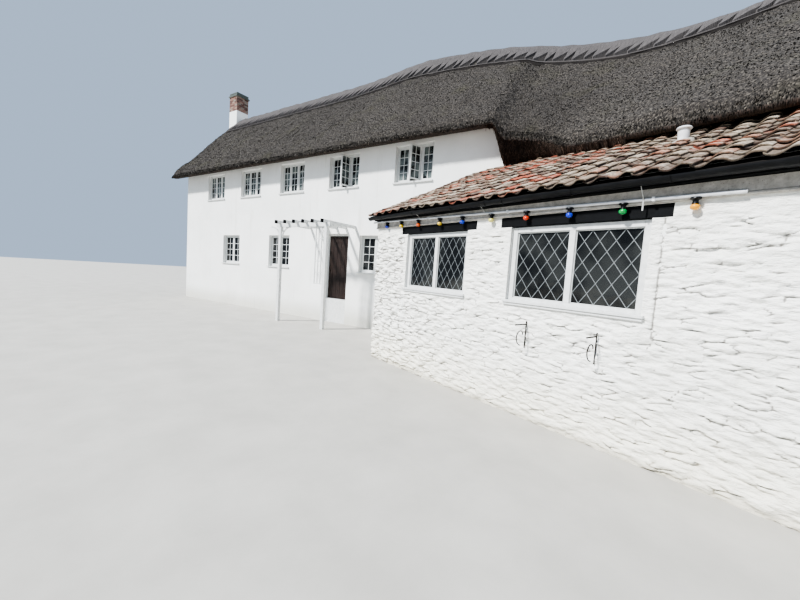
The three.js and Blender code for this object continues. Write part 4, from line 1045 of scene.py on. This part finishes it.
def wall_calm(u, z):
    """Nearly 0 beside the windows and in the plaster under the eaves, 1 elsewhere."""
    on_front = (u > -0.05) & (u < LEAN_LENGTH + 0.05)
    calm = 1 - 0.85 * smooth_step(z, PLASTER_FROM, PLASTER_FROM + 0.1) * on_front
    for x0, x1 in LEAN_WINDOWS:
        out = np.maximum(np.maximum(x0 - FRAME_FACE - u, u - x1 - FRAME_FACE), 0)
        out = np.hypot(out, np.maximum(np.maximum(GLASS_LOW - FRAME_FACE - z, z - LINTEL[1]), 0))
        calm = np.minimum(calm, 0.2 + smooth_step(out, 0.03, 0.13))
    return np.clip(calm, 0.1, 1)


def strip_groove(u, z):
    """Depth of the two upright cracks beside the plaster strip at the second window's right: each
    is a narrow bell curve in u."""
    edge = LEAN_WINDOWS[1][1] + FRAME_FACE + STRIP
    cracks = CRACK_DEPTH * np.exp(-((u - edge) / CRACK_WIDTH) ** 2)
    cracks += 0.008 * np.exp(-((u - edge + 0.07) / CRACK_WIDTH) ** 2)
    return cracks * smooth_step(z, 1.2, 1.3) * (z < LINTEL[0])


sample = np.linspace(5.0, 5.5, 200)
sample_relief = stone_relief(sample, sample * 0 + 1, 1.0, STONE_SEED)[0]
print("relief from", sample_relief.min().round(3), "to", sample_relief.max().round(3))


# %% The skin and its edges
SOFFIT = 2.698
CORNER_TURN = 0.07
SKIN_BACK = -0.004
STEP, END_STEP, RISE_STEP = 0.021, 0.034, 0.0115


def marks_between(breaks, steps):
    """Grid lines through every break, with equal steps no longer than the given one between them."""
    parts = [np.linspace(a, b, max(2, math.ceil((b - a) / step) + 1))[:-1]
             for a, b, step in zip(breaks, breaks[1:], steps)]
    return np.concatenate([*parts, breaks[-1:]])


def round_lean_to(u, z, out):
    """u runs from the left end wall (below 0) along the front to the right end wall (above its
    length). The way out turns smoothly about each corner."""
    left = 1 - smooth_step(u, -CORNER_TURN, CORNER_TURN)
    right = smooth_step(u, LEAN_LENGTH - CORNER_TURN, LEAN_LENGTH + CORNER_TURN)
    way = np.stack([right - left, left + right - 1], -1)
    way /= np.linalg.norm(way, axis=-1, keepdims=True)
    x = np.clip(u, 0, LEAN_LENGTH) + out * way[..., 0]
    y = np.maximum(-u, 0) + np.maximum(u - LEAN_LENGTH, 0) + out * way[..., 1]
    return np.stack([x, y, z], -1)


def skin_top(u):
    """The soffit's height along the front, and just under the tiles' deck along the ends."""
    y = np.maximum(-u, 0) + np.maximum(u - LEAN_LENGTH, 0)
    return blend(SOFFIT, tile_top(y) - 0.092, smooth_step(y, 0.0, 0.08))


def stone_skin(name, u_breaks, u_steps, z_breaks, holes):
    """A grid over (u, z) that leaves out the blocks between breaks whose middle is in a hole
    (u0, u1, z0, z1). The heights are shares of the skin's top."""
    across = marks_between(u_breaks, u_steps)
    up = marks_between(z_breaks, [RISE_STEP] * len(z_breaks)) / SOFFIT
    u, share = np.meshgrid(across, up)
    z = share * skin_top(u)
    height, joint = stone_relief(u, z, wall_calm(u, z), STONE_SEED)
    groove = strip_groove(u, z)
    # The cracks join the joints in the marks for painted shade and dirt.
    joint = np.maximum(joint, groove / CRACK_DEPTH)
    front = round_lean_to(u, z, height - groove).reshape(-1, 3)
    back = round_lean_to(u, z, 0 * u + SKIN_BACK).reshape(-1, 3)
    count = len(front)
    grid = np.arange(count).reshape(u.shape)
    at_u = np.searchsorted(across, np.array(u_breaks) - 1e-6)
    at_z = np.searchsorted(up, np.array(z_breaks) / SOFFIT - 1e-6)
    cells, behind = [], []
    for r0, r1 in zip(at_z, at_z[1:]):
        for c0, c1 in zip(at_u, at_u[1:]):
            middle_u, middle_z = (across[c0] + across[c1]) / 2, (up[r0] + up[r1]) / 2 * SOFFIT
            if any(u0 < middle_u < u1 and z0 < middle_z < z1 for u0, u1, z0, z1 in holes):
                continue
            part = grid[r0:r1 + 1, c0:c1 + 1]
            cells.append(np.stack([part[:-1, :-1], part[:-1, 1:], part[1:, 1:], part[1:, :-1]], -1).reshape(-1, 4))
            loop = np.concatenate([part[0, :-1], part[:-1, -1], part[-1, :0:-1], part[:0:-1, 0]])
            behind.append(loop[None, ::-1] + count)
    cells = np.concatenate(cells)
    groups = [cells, rim_of(cells, count), *behind]
    used = np.unique(np.concatenate([group.ravel() for group in groups]))
    number = np.zeros(2 * count, int)
    number[used] = np.arange(len(used))
    shape = np.concatenate([front, back])[used], [number[group] for group in groups]
    # Painted shade and dirt: joints and cracks are marked on the face, none on the back.
    shade_and_dirt = np.concatenate([joint.ravel(), 0 * joint.ravel()])[used]
    piece(name, shape, STONE, "white_rubble", smooth=60, marks={"shade_and_dirt": shade_and_dirt})


LINTEL_ENDS = [(0.776, 2.518), (2.938, 4.855), (5.7, 7.485)]
PARTING, LEFT_END_DEPTH = 5.2, 2.78
window_edges, holes = [], []
for (x0, x1), (a, b) in zip(LEAN_WINDOWS, LINTEL_ENDS):
    frame_edges = (x0 - FRAME_FACE, x1 + FRAME_FACE)
    window_edges += [a, *frame_edges, b]
    holes += [(*frame_edges, GLASS_LOW - FRAME_FACE, LINTEL[0]), (a, b, *LINTEL)]
z_lines = [0, GLASS_LOW - FRAME_FACE, *LINTEL, SOFFIT]
stone_skin("stone_face_left", [-LEFT_END_DEPTH, 0.0, *window_edges[:8], PARTING], [END_STEP, *[STEP] * 10],
           z_lines, holes)
stone_skin("stone_face_right", [PARTING, *window_edges[8:], LEAN_LENGTH, LEAN_LENGTH + RIGHT_FRONT_Y],
           [*[STEP] * 5, END_STEP], z_lines, holes)

# %% [markdown]
# A moulded board runs along the top of the wall, just under the gutter, and a squared beam
# lies over each window. A box with bevelled edges could stand for either. A section carried
# along a line gives the board's round nosing too, and lets both wave a little, as old wood does.

# %% The board under the gutter, and the lintels
BOARD_LOW, BAR_POINTS = 2.557, 60


def rough_bar(x0, x1, y, z, section, seed):
    """A section (out, up) carried from x0 to x1 along the wall, with the small waves of old wood."""
    x = np.linspace(x0, x1, BAR_POINTS)
    y = y + 0.002 * ripple(x, 0 * x, 0.8, seed)
    z = z + 0.0015 * ripple(x, 0 * x, 1.1, seed + 1)
    return sweep(np.stack([x, y, z], 1), section)


BOARD_SECTION = [[0.0, 0.14], [0.044, 0.14], [0.045, 0.03], [0.054, 0.022], [0.056, 0.008], [0.05, 0.0], [0.0, 0.0]]
piece("eaves_board", rough_bar(-0.02, LEAN_LENGTH + 0.02, 0.0, BOARD_LOW, BOARD_SECTION, 77), GREY_PAINT,
      "black_timber", smooth=30)
beam = np.array([[0.0, 0.004], [0.006, 0.0], [0.15, 0.0], [0.15, 0.126], [0.006, 0.126], [0.0, 0.12]]) * [-1, 1]
for k, (x0, x1) in enumerate(LINTEL_ENDS):
    piece(f"black_lintel_{k + 1}", rough_bar(x0 + 0.002, x1 - 0.002, -0.014, LINTEL[0] + 0.001, beam, 80 + k),
          BLACK_PAINT, "black_timber", nodes=[f"window_lintel_{k + 1}"], smooth=30)

# %% [markdown]
# ## Windows
# Every window is boxes: a frame, sashes, thin bars and sheets of glass. They are laid out in
# the window's own measures, u along it, v inward from its face, and z up, and then carried
# to their wall. Each could be modelled in its place, but this way one function serves the
# street, the gable and the back.

# %% Frames, lights and leads
SASH, HALF_BAR, PANE_LAP = 0.034, 0.009, 0.01
CASEMENT_FRAME, SILL_LAP = 0.05, 0.03


def ring(u0, u1, z0, z1, wide, v0, v1):
    """Four boxes round a rectangle: two uprights, with the foot and the head between them."""
    low = [(u0, v0, z0), (u1 - wide, v0, z0), (u0 + wide, v0, z0), (u0 + wide, v0, z1 - wide)]
    high = [(u0 + wide, v1, z1), (u1, v1, z1), (u1 - wide, v1, z0 + wide), (u1 - wide, v1, z1)]
    return blocks(low, high)


def light(u0, u1, z0, z1, across=2, up=4):
    """One sash with its glazing bars, and apart from it the glass."""
    a, b, low, high = u0 + SASH, u1 - SASH, z0 + SASH, z1 - SASH
    uprights = [a + (b - a) * k / across for k in range(1, across)]
    rails = [low + (high - low) * k / up for k in range(1, up)]
    sash = joined(
        ring(u0, u1, z0, z1, SASH, 0.006, 0.046),
        blocks([(u - HALF_BAR, 0.014, low) for u in uprights], [(u + HALF_BAR, 0.038, high) for u in uprights]),
        blocks([(a, 0.016, z - HALF_BAR) for z in rails], [(b, 0.036, z + HALF_BAR) for z in rails]))
    return sash, blocks((a - PANE_LAP, 0.024, low - PANE_LAP), (b + PANE_LAP, 0.029, high + PANE_LAP))


def swung(shape, u, angle):
    """The shape turned outward about the upright line at u on the window's face."""
    points, faces = shape
    c, s = math.cos(angle), math.sin(angle)
    x, y = points[:, 0] - u, points[:, 1]
    return np.stack([u + x * c - y * s, x * s + y * c, points[:, 2]], 1), faces


def casement(width, z0, z1, lights, reveal, opened=()):
    """Frame, posts, sashes and sill together, and apart from them the glass. opened holds pairs of
    a light's number and its angle; reveal is how far the sill must reach out to the wall's face."""
    pitch = (width - CASEMENT_FRAME) / lights
    low, high = z0 + CASEMENT_FRAME, z1 - CASEMENT_FRAME
    parts, panes = [ring(0, width, z0, z1, CASEMENT_FRAME, 0.0, 0.07)], []
    for k in range(1, lights):
        parts.append(blocks((k * pitch, 0, low), (k * pitch + CASEMENT_FRAME, 0.07, high)))
    for k in range(lights):
        hinge = (k + 1) * pitch
        sash, pane = light(k * pitch + CASEMENT_FRAME, hinge, low, high)
        angle = dict(opened).get(k, 0)
        parts.append(swung(sash, hinge, angle))
        panes.append(swung(pane, hinge, angle))
    parts.append(blocks((-SILL_LAP, -reveal - 0.045, z0 - 0.035), (width + SILL_LAP, -reveal + 0.05, z0)))
    return joined(*parts), joined(*panes)


def diamond_leads(u0, u1, z0, z1, v):
    """Leads along X + Z = k and X - Z = k, where X counts quarters of the width and Z counts rows
    down from the head; three and a half rows fill the light."""
    count = 3.5
    k = np.arange(1, 8)
    start, end = np.maximum(0, k - count), np.minimum(4, k)
    scale = np.array([(u1 - u0) / 4, 1, (z0 - z1) / count])
    shapes = []
    for flip, depth in ((False, v), (True, v + 0.0015)):
        ends = [np.stack([4 - x if flip else x, 0 * x, k - x], 1) * scale + [u0, depth, z1] for x in (start, end)]
        shapes.append(bars(*ends, 0.0085, 0.008))
    return joined(*shapes)


print("a casement has", len(casement(1.2, 0, 1, 3, 0.1)[0][0]), "points")

# %% Leaded windows of the lean-to
GLASS_TOP, HALF_POST, BEAD = 2.354, 0.035, 0.012
SILL_LOW, SILL_DROP, SILL_TOP = 1.417, 1.447, 1.48
frames, panes, leads = [], [], []
for x0, x1 in LEAN_WINDOWS:
    left, right, middle = x0 - FRAME_FACE, x1 + FRAME_FACE, (x0 + x1) / 2
    frames += [ring(left, right, GLASS_LOW - FRAME_FACE, GLASS_TOP + FRAME_FACE - 0.001, FRAME_FACE, 0.03, 0.1),
               blocks((middle - HALF_POST, 0.032, GLASS_LOW), (middle + HALF_POST, 0.098, GLASS_TOP)),
               blocks([(left - 0.03, -0.06, SILL_DROP), (left - 0.02, -0.045, SILL_LOW)],
                      [(right + 0.03, 0.03, SILL_TOP), (right + 0.02, 0.0, SILL_DROP)])]
    for a, b in ((x0, middle - HALF_POST), (middle + HALF_POST, x1)):
        frames.append(ring(a, b, GLASS_LOW, GLASS_TOP, BEAD, 0.05, 0.085))
        panes.append(blocks((a + 0.008, 0.064, GLASS_LOW + 0.008), (b - 0.008, 0.068, GLASS_TOP - 0.008)))
        leads.append(diamond_leads(a + BEAD, b - BEAD, GLASS_LOW + BEAD, GLASS_TOP - BEAD, 0.0655))
piece("leaded_frames", joined(*frames), WHITE_PAINT, "white_timber", bevel=0.004,
      nodes=["leaded_window_1", "leaded_window_2", "leaded_window_3"])
piece("leaded_panes", joined(*panes), GLASS, "glazing")
piece("leads", joined(*leads), LEAD, None)

# %% Casements of the ranges
UPPER_HEIGHTS, LOWER_HEIGHTS = (4.202, 5.198), (1.652, 2.748)
UPPER, LOWER = [-1.89, -4.39, -6.75, -9.05, -11.35], [-3.05, -7.3, -10.2]
BACK_LOWER, BACK_RIGHT = [-2.2, -4.7, -7.3, -10.2], [2.3, 4.5, 6.7]
AJAR = {UPPER[0]: [(1, math.radians(65))], UPPER[1]: [(1, math.radians(80))]}
REVEAL, BACK_REVEAL = 0.11, 0.43


def front_row(name, middles, width, heights, lights, nodes):
    """One piece of casements with their middles at those places of the left range's front, and
    apart from it their panes."""
    frames, panes = [], []
    for x in middles:
        window = casement(width, *heights, lights, REVEAL, AJAR.get(x, ()))
        for shape, row in zip(window, (frames, panes)):
            row.append(carried(shape, [x - width / 2, REVEAL, 0], into=left_range))
    piece(name, joined(*frames), WHITE_PAINT, "white_timber", nodes=nodes)
    return panes


panes = front_row("upper_casements", UPPER, 1.2, UPPER_HEIGHTS, 3, [f"upper_window_{k}" for k in range(1, 6)])
piece("upper_panes", joined(*panes), SKY_GLASS, "glazing")
panes = front_row("lower_casements", LOWER, 1.1, LOWER_HEIGHTS, 2, [f"lower_window_{k}" for k in range(1, 4)])
gable_frame, gable_pane = (carried(shape, [RIGHT_END_X - REVEAL, 5.35, 0], 1)
                           for shape in casement(0.9, *UPPER_HEIGHTS, 2, REVEAL))
piece("gable_casement", gable_frame, WHITE_PAINT, "white_timber", nodes=["gable_window"])
piece("casement_panes", joined(*panes, gable_pane), GLASS, "glazing")
back_frames = []
for middles, width, heights, lights, back_y, into in (
        (UPPER, 1.198, UPPER_HEIGHTS, 3, RANGE_DEPTH, left_range),
        (BACK_LOWER, 1.098, LOWER_HEIGHTS, 2, RANGE_DEPTH, left_range),
        (BACK_RIGHT, 1.098, LOWER_HEIGHTS, 2, RIGHT_FRONT_Y + RANGE_DEPTH, None)):
    window = casement(width, *heights, lights, BACK_REVEAL)[0]
    back_frames += [carried(window, [x + width / 2, back_y - BACK_REVEAL, 0], 2, into) for x in middles]
piece("back_casements", joined(*back_frames), WHITE_PAINT, "white_timber")

# %% [markdown]
# ## The door, the porch and the stack
# The door is five boards on the leaf, with three ledges behind and an iron pull. The porch
# gets curved braces and black caps on its rafters. The stack gets its bricks, a course at a
# time, over the mortar of the solid core. A brick pattern in a material would be quicker,
# but real boxes give the stack its rough outline against the sky.

# %% Door boards
LEAF = {"left": -4.928, "right": -4.119, "low": 0.762, "high": 2.731}
PLANK = {"count": 5, "gap": 0.005, "front": 0.138, "back": 0.1505}
LEDGES = (0.95, 1.7, 2.48)
wide = (LEAF["right"] - LEAF["left"] + PLANK["gap"]) / PLANK["count"]
starts = LEAF["left"] + wide * np.arange(PLANK["count"])
door_boards = blocks([(x, PLANK["front"], LEAF["low"]) for x in starts],
                     [(x + wide - PLANK["gap"], PLANK["back"], LEAF["high"]) for x in starts])
ledges = blocks([(-4.9, 0.194, z) for z in LEDGES], [(-4.15, 0.214, z + 0.12) for z in LEDGES])
for name, shape in (("door_boards", door_boards), ("door_ledges", ledges)):
    piece(name, carried(shape, into=left_range), DOOR_PAINT, "door_paint", body="door", bevel=0.003)
stud_places = np.array([(x + wide / 2, 0.137, z + 0.06) for x in starts for z in LEDGES])
stud = blocks((-0.008, -0.004, -0.008), (0.008, 0.003, 0.008))
turn = np.linspace(math.radians(-80), math.radians(80), 12)
pull = sweep(np.stack([0 * turn - 4.87, 0.14 - 0.05 * np.cos(turn), 1.72 + 0.09 * np.sin(turn)], 1), circle(0.007, 6),
             up=(1, 0, 0))
plates = blocks([(-4.885, 0.134, z - 0.02) for z in (1.63, 1.81)], [(-4.855, 0.139, z + 0.02) for z in (1.63, 1.81)])
piece("door_iron", carried(joined(copies(stud, stud_places), pull, plates), into=left_range), IRON, None, body="door")

# %% Porch braces and rafter caps
turn = np.linspace(0, math.pi / 2, 10)
square = [(-0.022, -0.022), (0.022, -0.022), (0.022, 0.022), (-0.022, 0.022)]
PORCH_RIGHT, PORCH_LEFT, RAFTERS = -3.8, -5.7, 6
braces = []
for x, side in ((PORCH_RIGHT, -1), (PORCH_LEFT, 1), (PORCH_LEFT, -1)):
    arc = np.stack([x + side * (0.43 - 0.4 * np.cos(turn)), 0 * turn - 1.2, 2.46 + 0.4 * np.sin(turn)], 1)
    braces.append(sweep(arc, square, up=(0, 1, 0)))
piece("porch_braces", carried(joined(*braces), into=left_range), WHITE_PAINT, "white_timber", bevel=0.003)
caps = copies(blocks((-0.028, -1.424, 2.937), (0.028, -1.36, 3.033)),
              [(x, 0, 0) for x in np.linspace(PORCH_RIGHT, PORCH_LEFT, RAFTERS)])
piece("rafter_caps", carried(caps, into=left_range), BLACK_PAINT, "black_timber")


# %% Bricks of the stack
STACK_AT, STACK_HALF = [-13.9, RANGE_DEPTH / 2, 0], 0.3
COURSE, HALF_JOINT, CAP_FROM = 0.0742, 0.004, 9.72


def stack_bricks():
    """Boxes 30 mm deep round the core, course by course; the joints step by half a brick. The three
    courses of the cap come last, and the lowest of them stands out."""
    courses = [(9.056 + COURSE * k, 9.122 + COURSE * k, 0.006) for k in range(9)]
    courses += [(9.722, 9.779, 0.046), (9.786, 9.838, 0.006), (9.846, 9.9, 0.006)]
    parts = []
    for number, (z0, z1, out) in enumerate(courses):
        half = STACK_HALF + out
        for quarter in range(4):
            reach = half if quarter % 2 == 0 else half - 0.034
            cuts = [-1, -1 / 3, 1 / 3, 1] if (number + quarter) % 2 else [-1, -2 / 3, 0, 2 / 3, 1]
            low = [(a * reach + HALF_JOINT, -half, z0) for a in cuts[:-1]]
            high = [(b * reach - HALF_JOINT, -half + 0.03 + out, z1) for b in cuts[1:]]
            parts.append(carried(blocks(low, high), quarter=quarter))
    return joined(*parts)


bricks, brick_faces = stack_bricks()
brick_paints = np.array([paint(code) for code in ("84655a", "927265", "70544b", "9b8477", "665049", "8e8479")])
brick_colours = np.repeat(brick_paints[rng.integers(0, len(brick_paints), len(bricks) // 8)], 8, 0)
brick_colours[bricks[:, 2] > CAP_FROM] = paint("5b625e")
piece("stack_bricks", carried((bricks, brick_faces), STACK_AT, into=left_range), BRICK, "brick",
      marks={"paint": brick_colours})

# %% [markdown]
# ## Gutter, lamps and small iron
# The last things are small. The gutter has straps, sleeves and closed ends. The string of
# lamps is a white tube with black holders and coloured bulbs. A short flue stands in the
# tiles, and two iron brackets are fixed under the middle window. Cylinders and spheres
# would be quicker, but a turned section gives each holder, bulb and cowl its own outline.

# %% Gutter fittings
GUTTER = {"y": -0.1803, "z": 2.758, "band": 0.0575, "thick": 0.005, "cap": 0.058, "cap_thick": 0.008}


def half_round(radius, count=11):
    """The lower half of a circle: radius × (cos, sin) from half a turn to a full one."""
    angle = math.pi * (1 + np.linspace(0, 1, count))
    return radius * np.stack([np.cos(angle), np.sin(angle)], 1)


def hoop(long):
    """A flat band of that length round the lower half of the gutter."""
    across, up = half_round(GUTTER["band"]).T
    path = np.stack([0 * across, across + GUTTER["y"], up + GUTTER["z"]], 1)
    t, w = GUTTER["thick"] / 2, long / 2
    return sweep(path, [(-t, -w), (t, -w), (t, w), (-t, w)], up=(1, 0, 0))


fittings = [copies(hoop(0.022), [(x, 0, 0) for x in np.arange(0.35, LEAN_LENGTH, 0.9)]),
            copies(hoop(0.07), [(2.75, 0, 0), (5.6, 0, 0)])]
for x in (-0.066, LEAN_LENGTH + 0.058):
    ends = [(x, GUTTER["y"], GUTTER["z"]), (x + GUTTER["cap_thick"], GUTTER["y"], GUTTER["z"])]
    fittings.append(sweep(ends, half_round(GUTTER["cap"])))
piece("gutter_fittings", joined(*fittings), BLACK_PLASTIC, "black_plastic", smooth=40)

# %% The string of lamps
LAMPS = [(0.36, "2b3a9e"), (0.8, "e3c23a"), (1.27, "d8632a"), (1.79, "e0c04a"), (2.27, "2b45b8"), (2.8, "d9cf7a"),
         (3.34, "dd4a24"), (3.89, "1f3fd0"), (4.44, "0f9a4a"), (5.02, "eda83a")]
TUBE = {"from": (-0.1, 2.68), "to": (5.35, 2.58), "y": -0.07, "radius": 0.016}


def on_tube(x):
    """Points of the tube's middle line at those x: it falls evenly from its left end to its right."""
    (x0, z0), (x1, z1) = TUBE["from"], TUBE["to"]
    x = np.asarray(x, float)
    return np.stack([x, 0 * x + TUBE["y"], z0 + (z1 - z0) * (x - x0) / (x1 - x0)], -1)


line = on_tube(np.linspace(TUBE["from"][0], TUBE["to"][0], 40))
clips = copies(blocks((-0.012, -0.02, -0.02), (0.012, 0.066, 0.02)), on_tube([0.2, 1.53, 3.06, 4.7]))
piece("lamp_tube", joined(sweep(line, circle(TUBE["radius"], 12)), clips), WHITE_PLASTIC, "white_plastic",
      nodes=["lamp_conduit"], smooth=40)
places = on_tube([x for x, _ in LAMPS])
holder = spin([(0.01, -0.012), (0.04, -0.017), (0.043, -0.028), (0.024, -0.038), (0.021, -0.05), (0.027, -0.074),
               (0.02, -0.076)], 14)
piece("lamp_holders", copies(holder, places), BLACK_PLASTIC, "black_plastic", smooth=40)
swing = np.linspace(0.25, math.pi, 9)
bulb = spin(np.stack([0.038 * np.sin(swing) + 0.0005, -0.098 + 0.029 * np.cos(swing)], 1), 16)
bulbs, bulb_faces = copies(bulb, places)
bulb_paint = np.repeat([paint(code) for _, code in LAMPS], len(bulb[0]), 0)
piece("lamp_bulbs", (bulbs, bulb_faces), BULB, None, smooth=60, marks={"paint": bulb_paint})
strap_feet = on_tube([1.35, 2.7, 4.62]) - [0, 0.018, 0]
strap_tops = strap_feet * [1, 0, 0] + [0, -0.19, 2.705]
straps = joined(blocks((4.612, -0.09, 2.49), (4.626, -0.087, 2.61)), bars(strap_tops, strap_feet, 0.008, 0.003))
piece("hanging_straps", straps, STRAP, None)

# %% Flue and iron brackets
FLUE_X, FLUE_Y = 4.47, 1.33
flue = spin([(0.05, 3.44), (0.056, 3.58), (0.063, 3.668), (0.05, 3.67), (0.05, 3.692), (0.08, 3.692), (0.083, 3.7),
             (0.07, 3.716), (0.04, 3.727), (0.01, 3.73)], 20)
piece("flue", carried(flue, [FLUE_X, FLUE_Y, 0]), WHITE_PLASTIC, "white_plastic", nodes=["flue_pipe"], smooth=40)
collar, collar_faces = spin([(0.05, -0.03), (0.115, -0.02), (0.105, 0.012), (0.07, 0.03), (0.05, 0.032)], 20)
collar[:, 2] += tile_top(collar[:, 1] + FLUE_Y) - 0.01
piece("flue_collar", carried((collar, collar_faces), [FLUE_X, FLUE_Y, 0]), MORTAR, None, smooth=50)


def wall_bracket(x):
    """A bar on the wall, an arm out at its top, and a scroll that curls from the foot up to the
    arm: radius falls evenly while the angle turns."""
    t = np.linspace(0, 1, 26)
    angle = -math.pi / 2 + t * 4.4
    radius = 0.12 * (1 - 0.72 * t)
    scroll = np.stack([0 * t + x, -0.13 - radius * np.cos(angle), 1.06 + radius * np.sin(angle)], 1)
    bar = bars([(x, -0.036, 0.9), (x, -0.03, 1.2)], [(x, -0.036, 1.24), (x, -0.27, 1.2)], 0.014, 0.008, out=(1, 0, 0))
    return joined(bar, sweep(scroll, circle(0.006, 6), up=(1, 0, 0)))


piece("wall_brackets", joined(wall_bracket(4.31), wall_bracket(3.46)), IRON, None, smooth=50)

# %% [markdown]
# ## Light, ground and camera
# A pale floor, a pale sky and one broad sun from the street side, a little to the left and
# 44 degrees up, give the soft noon light in which old paint shows its relief. A weak wide
# light from behind keeps the back of the roof readable. The camera stands near the right end
# of the lean-to, at eye height, with a wide lens.

# %% Studio
SUN = {"left": 13, "up": 44, "strength": 4.9, "soft": 5}
FILL = {"left": 200, "up": 42, "strength": 0.9, "soft": 60}
SKY = {"colour": "c8dcf6", "strength": 0.55}
EXPOSURE, FLOOR_HALF = 0.26, 70
sky = bpy.data.worlds.new("pale_sky")
sky.use_nodes = True
sky.node_tree.nodes["Background"].inputs["Color"].default_value = paint(SKY["colour"])
sky.node_tree.nodes["Background"].inputs["Strength"].default_value = SKY["strength"]
bpy.context.scene.world = sky
bpy.context.scene.view_settings.look = "AgX - High Contrast"
bpy.context.scene.view_settings.exposure = EXPOSURE
for name, given in (("sun", SUN), ("fill", FILL)):
    lamp = bpy.data.lights.new(name, "SUN")
    lamp.energy = given["strength"]
    lamp.angle = math.radians(given["soft"])
    lamp_object = bpy.data.objects.new(name, lamp)
    lamp_object.rotation_euler = (math.radians(90 - given["up"]), 0, math.radians(-given["left"]))
    bpy.context.scene.collection.objects.link(lamp_object)

floor_mesh = bpy.data.meshes.new("pale_floor")
floor_corners = [(x * FLOOR_HALF, y * FLOOR_HALF, 0) for x, y in ((-1, -1), (1, -1), (1, 1), (-1, 1))]
floor_mesh.from_pydata(floor_corners, [], [(0, 1, 2, 3)])
floor_mesh.materials.append(plain("pale_ground", "adaaa3", "b8b5ae", 0.9, 1.5))
floor = bpy.data.objects.new("pale_floor", floor_mesh)
bpy.context.scene.collection.objects.link(floor)
print("sun", SUN)

# %% Camera
from mathutils import Matrix

VIEW = {"at": (6.0123, -4.0534, 1.75), "yaw": 52.05, "pitch": -4.49, "roll": 3.82, "lens": 16.21}
yaw, pitch, roll = (math.radians(VIEW[key]) for key in ("yaw", "pitch", "roll"))
ahead = np.array([-math.sin(yaw) * math.cos(pitch), math.cos(yaw) * math.cos(pitch), math.sin(pitch)])
right = np.array([math.cos(yaw), math.sin(yaw), 0])
above = np.cross(right, ahead)
rolled = [right * math.cos(roll) + above * math.sin(roll), above * math.cos(roll) - right * math.sin(roll), -ahead]
lens = bpy.data.cameras.new("camera")
lens.lens = VIEW["lens"]
lens.sensor_width = 36
lens.clip_start = 0.05
lens.clip_end = 300
camera = bpy.data.objects.new("camera", lens)
camera.matrix_world = Matrix.Translation(VIEW["at"] + STREET) @ Matrix(np.array(rolled).T.tolist()).to_4x4()
bpy.context.scene.collection.objects.link(camera)
bpy.context.scene.camera = camera
print("camera at", np.round(camera.location, 3))
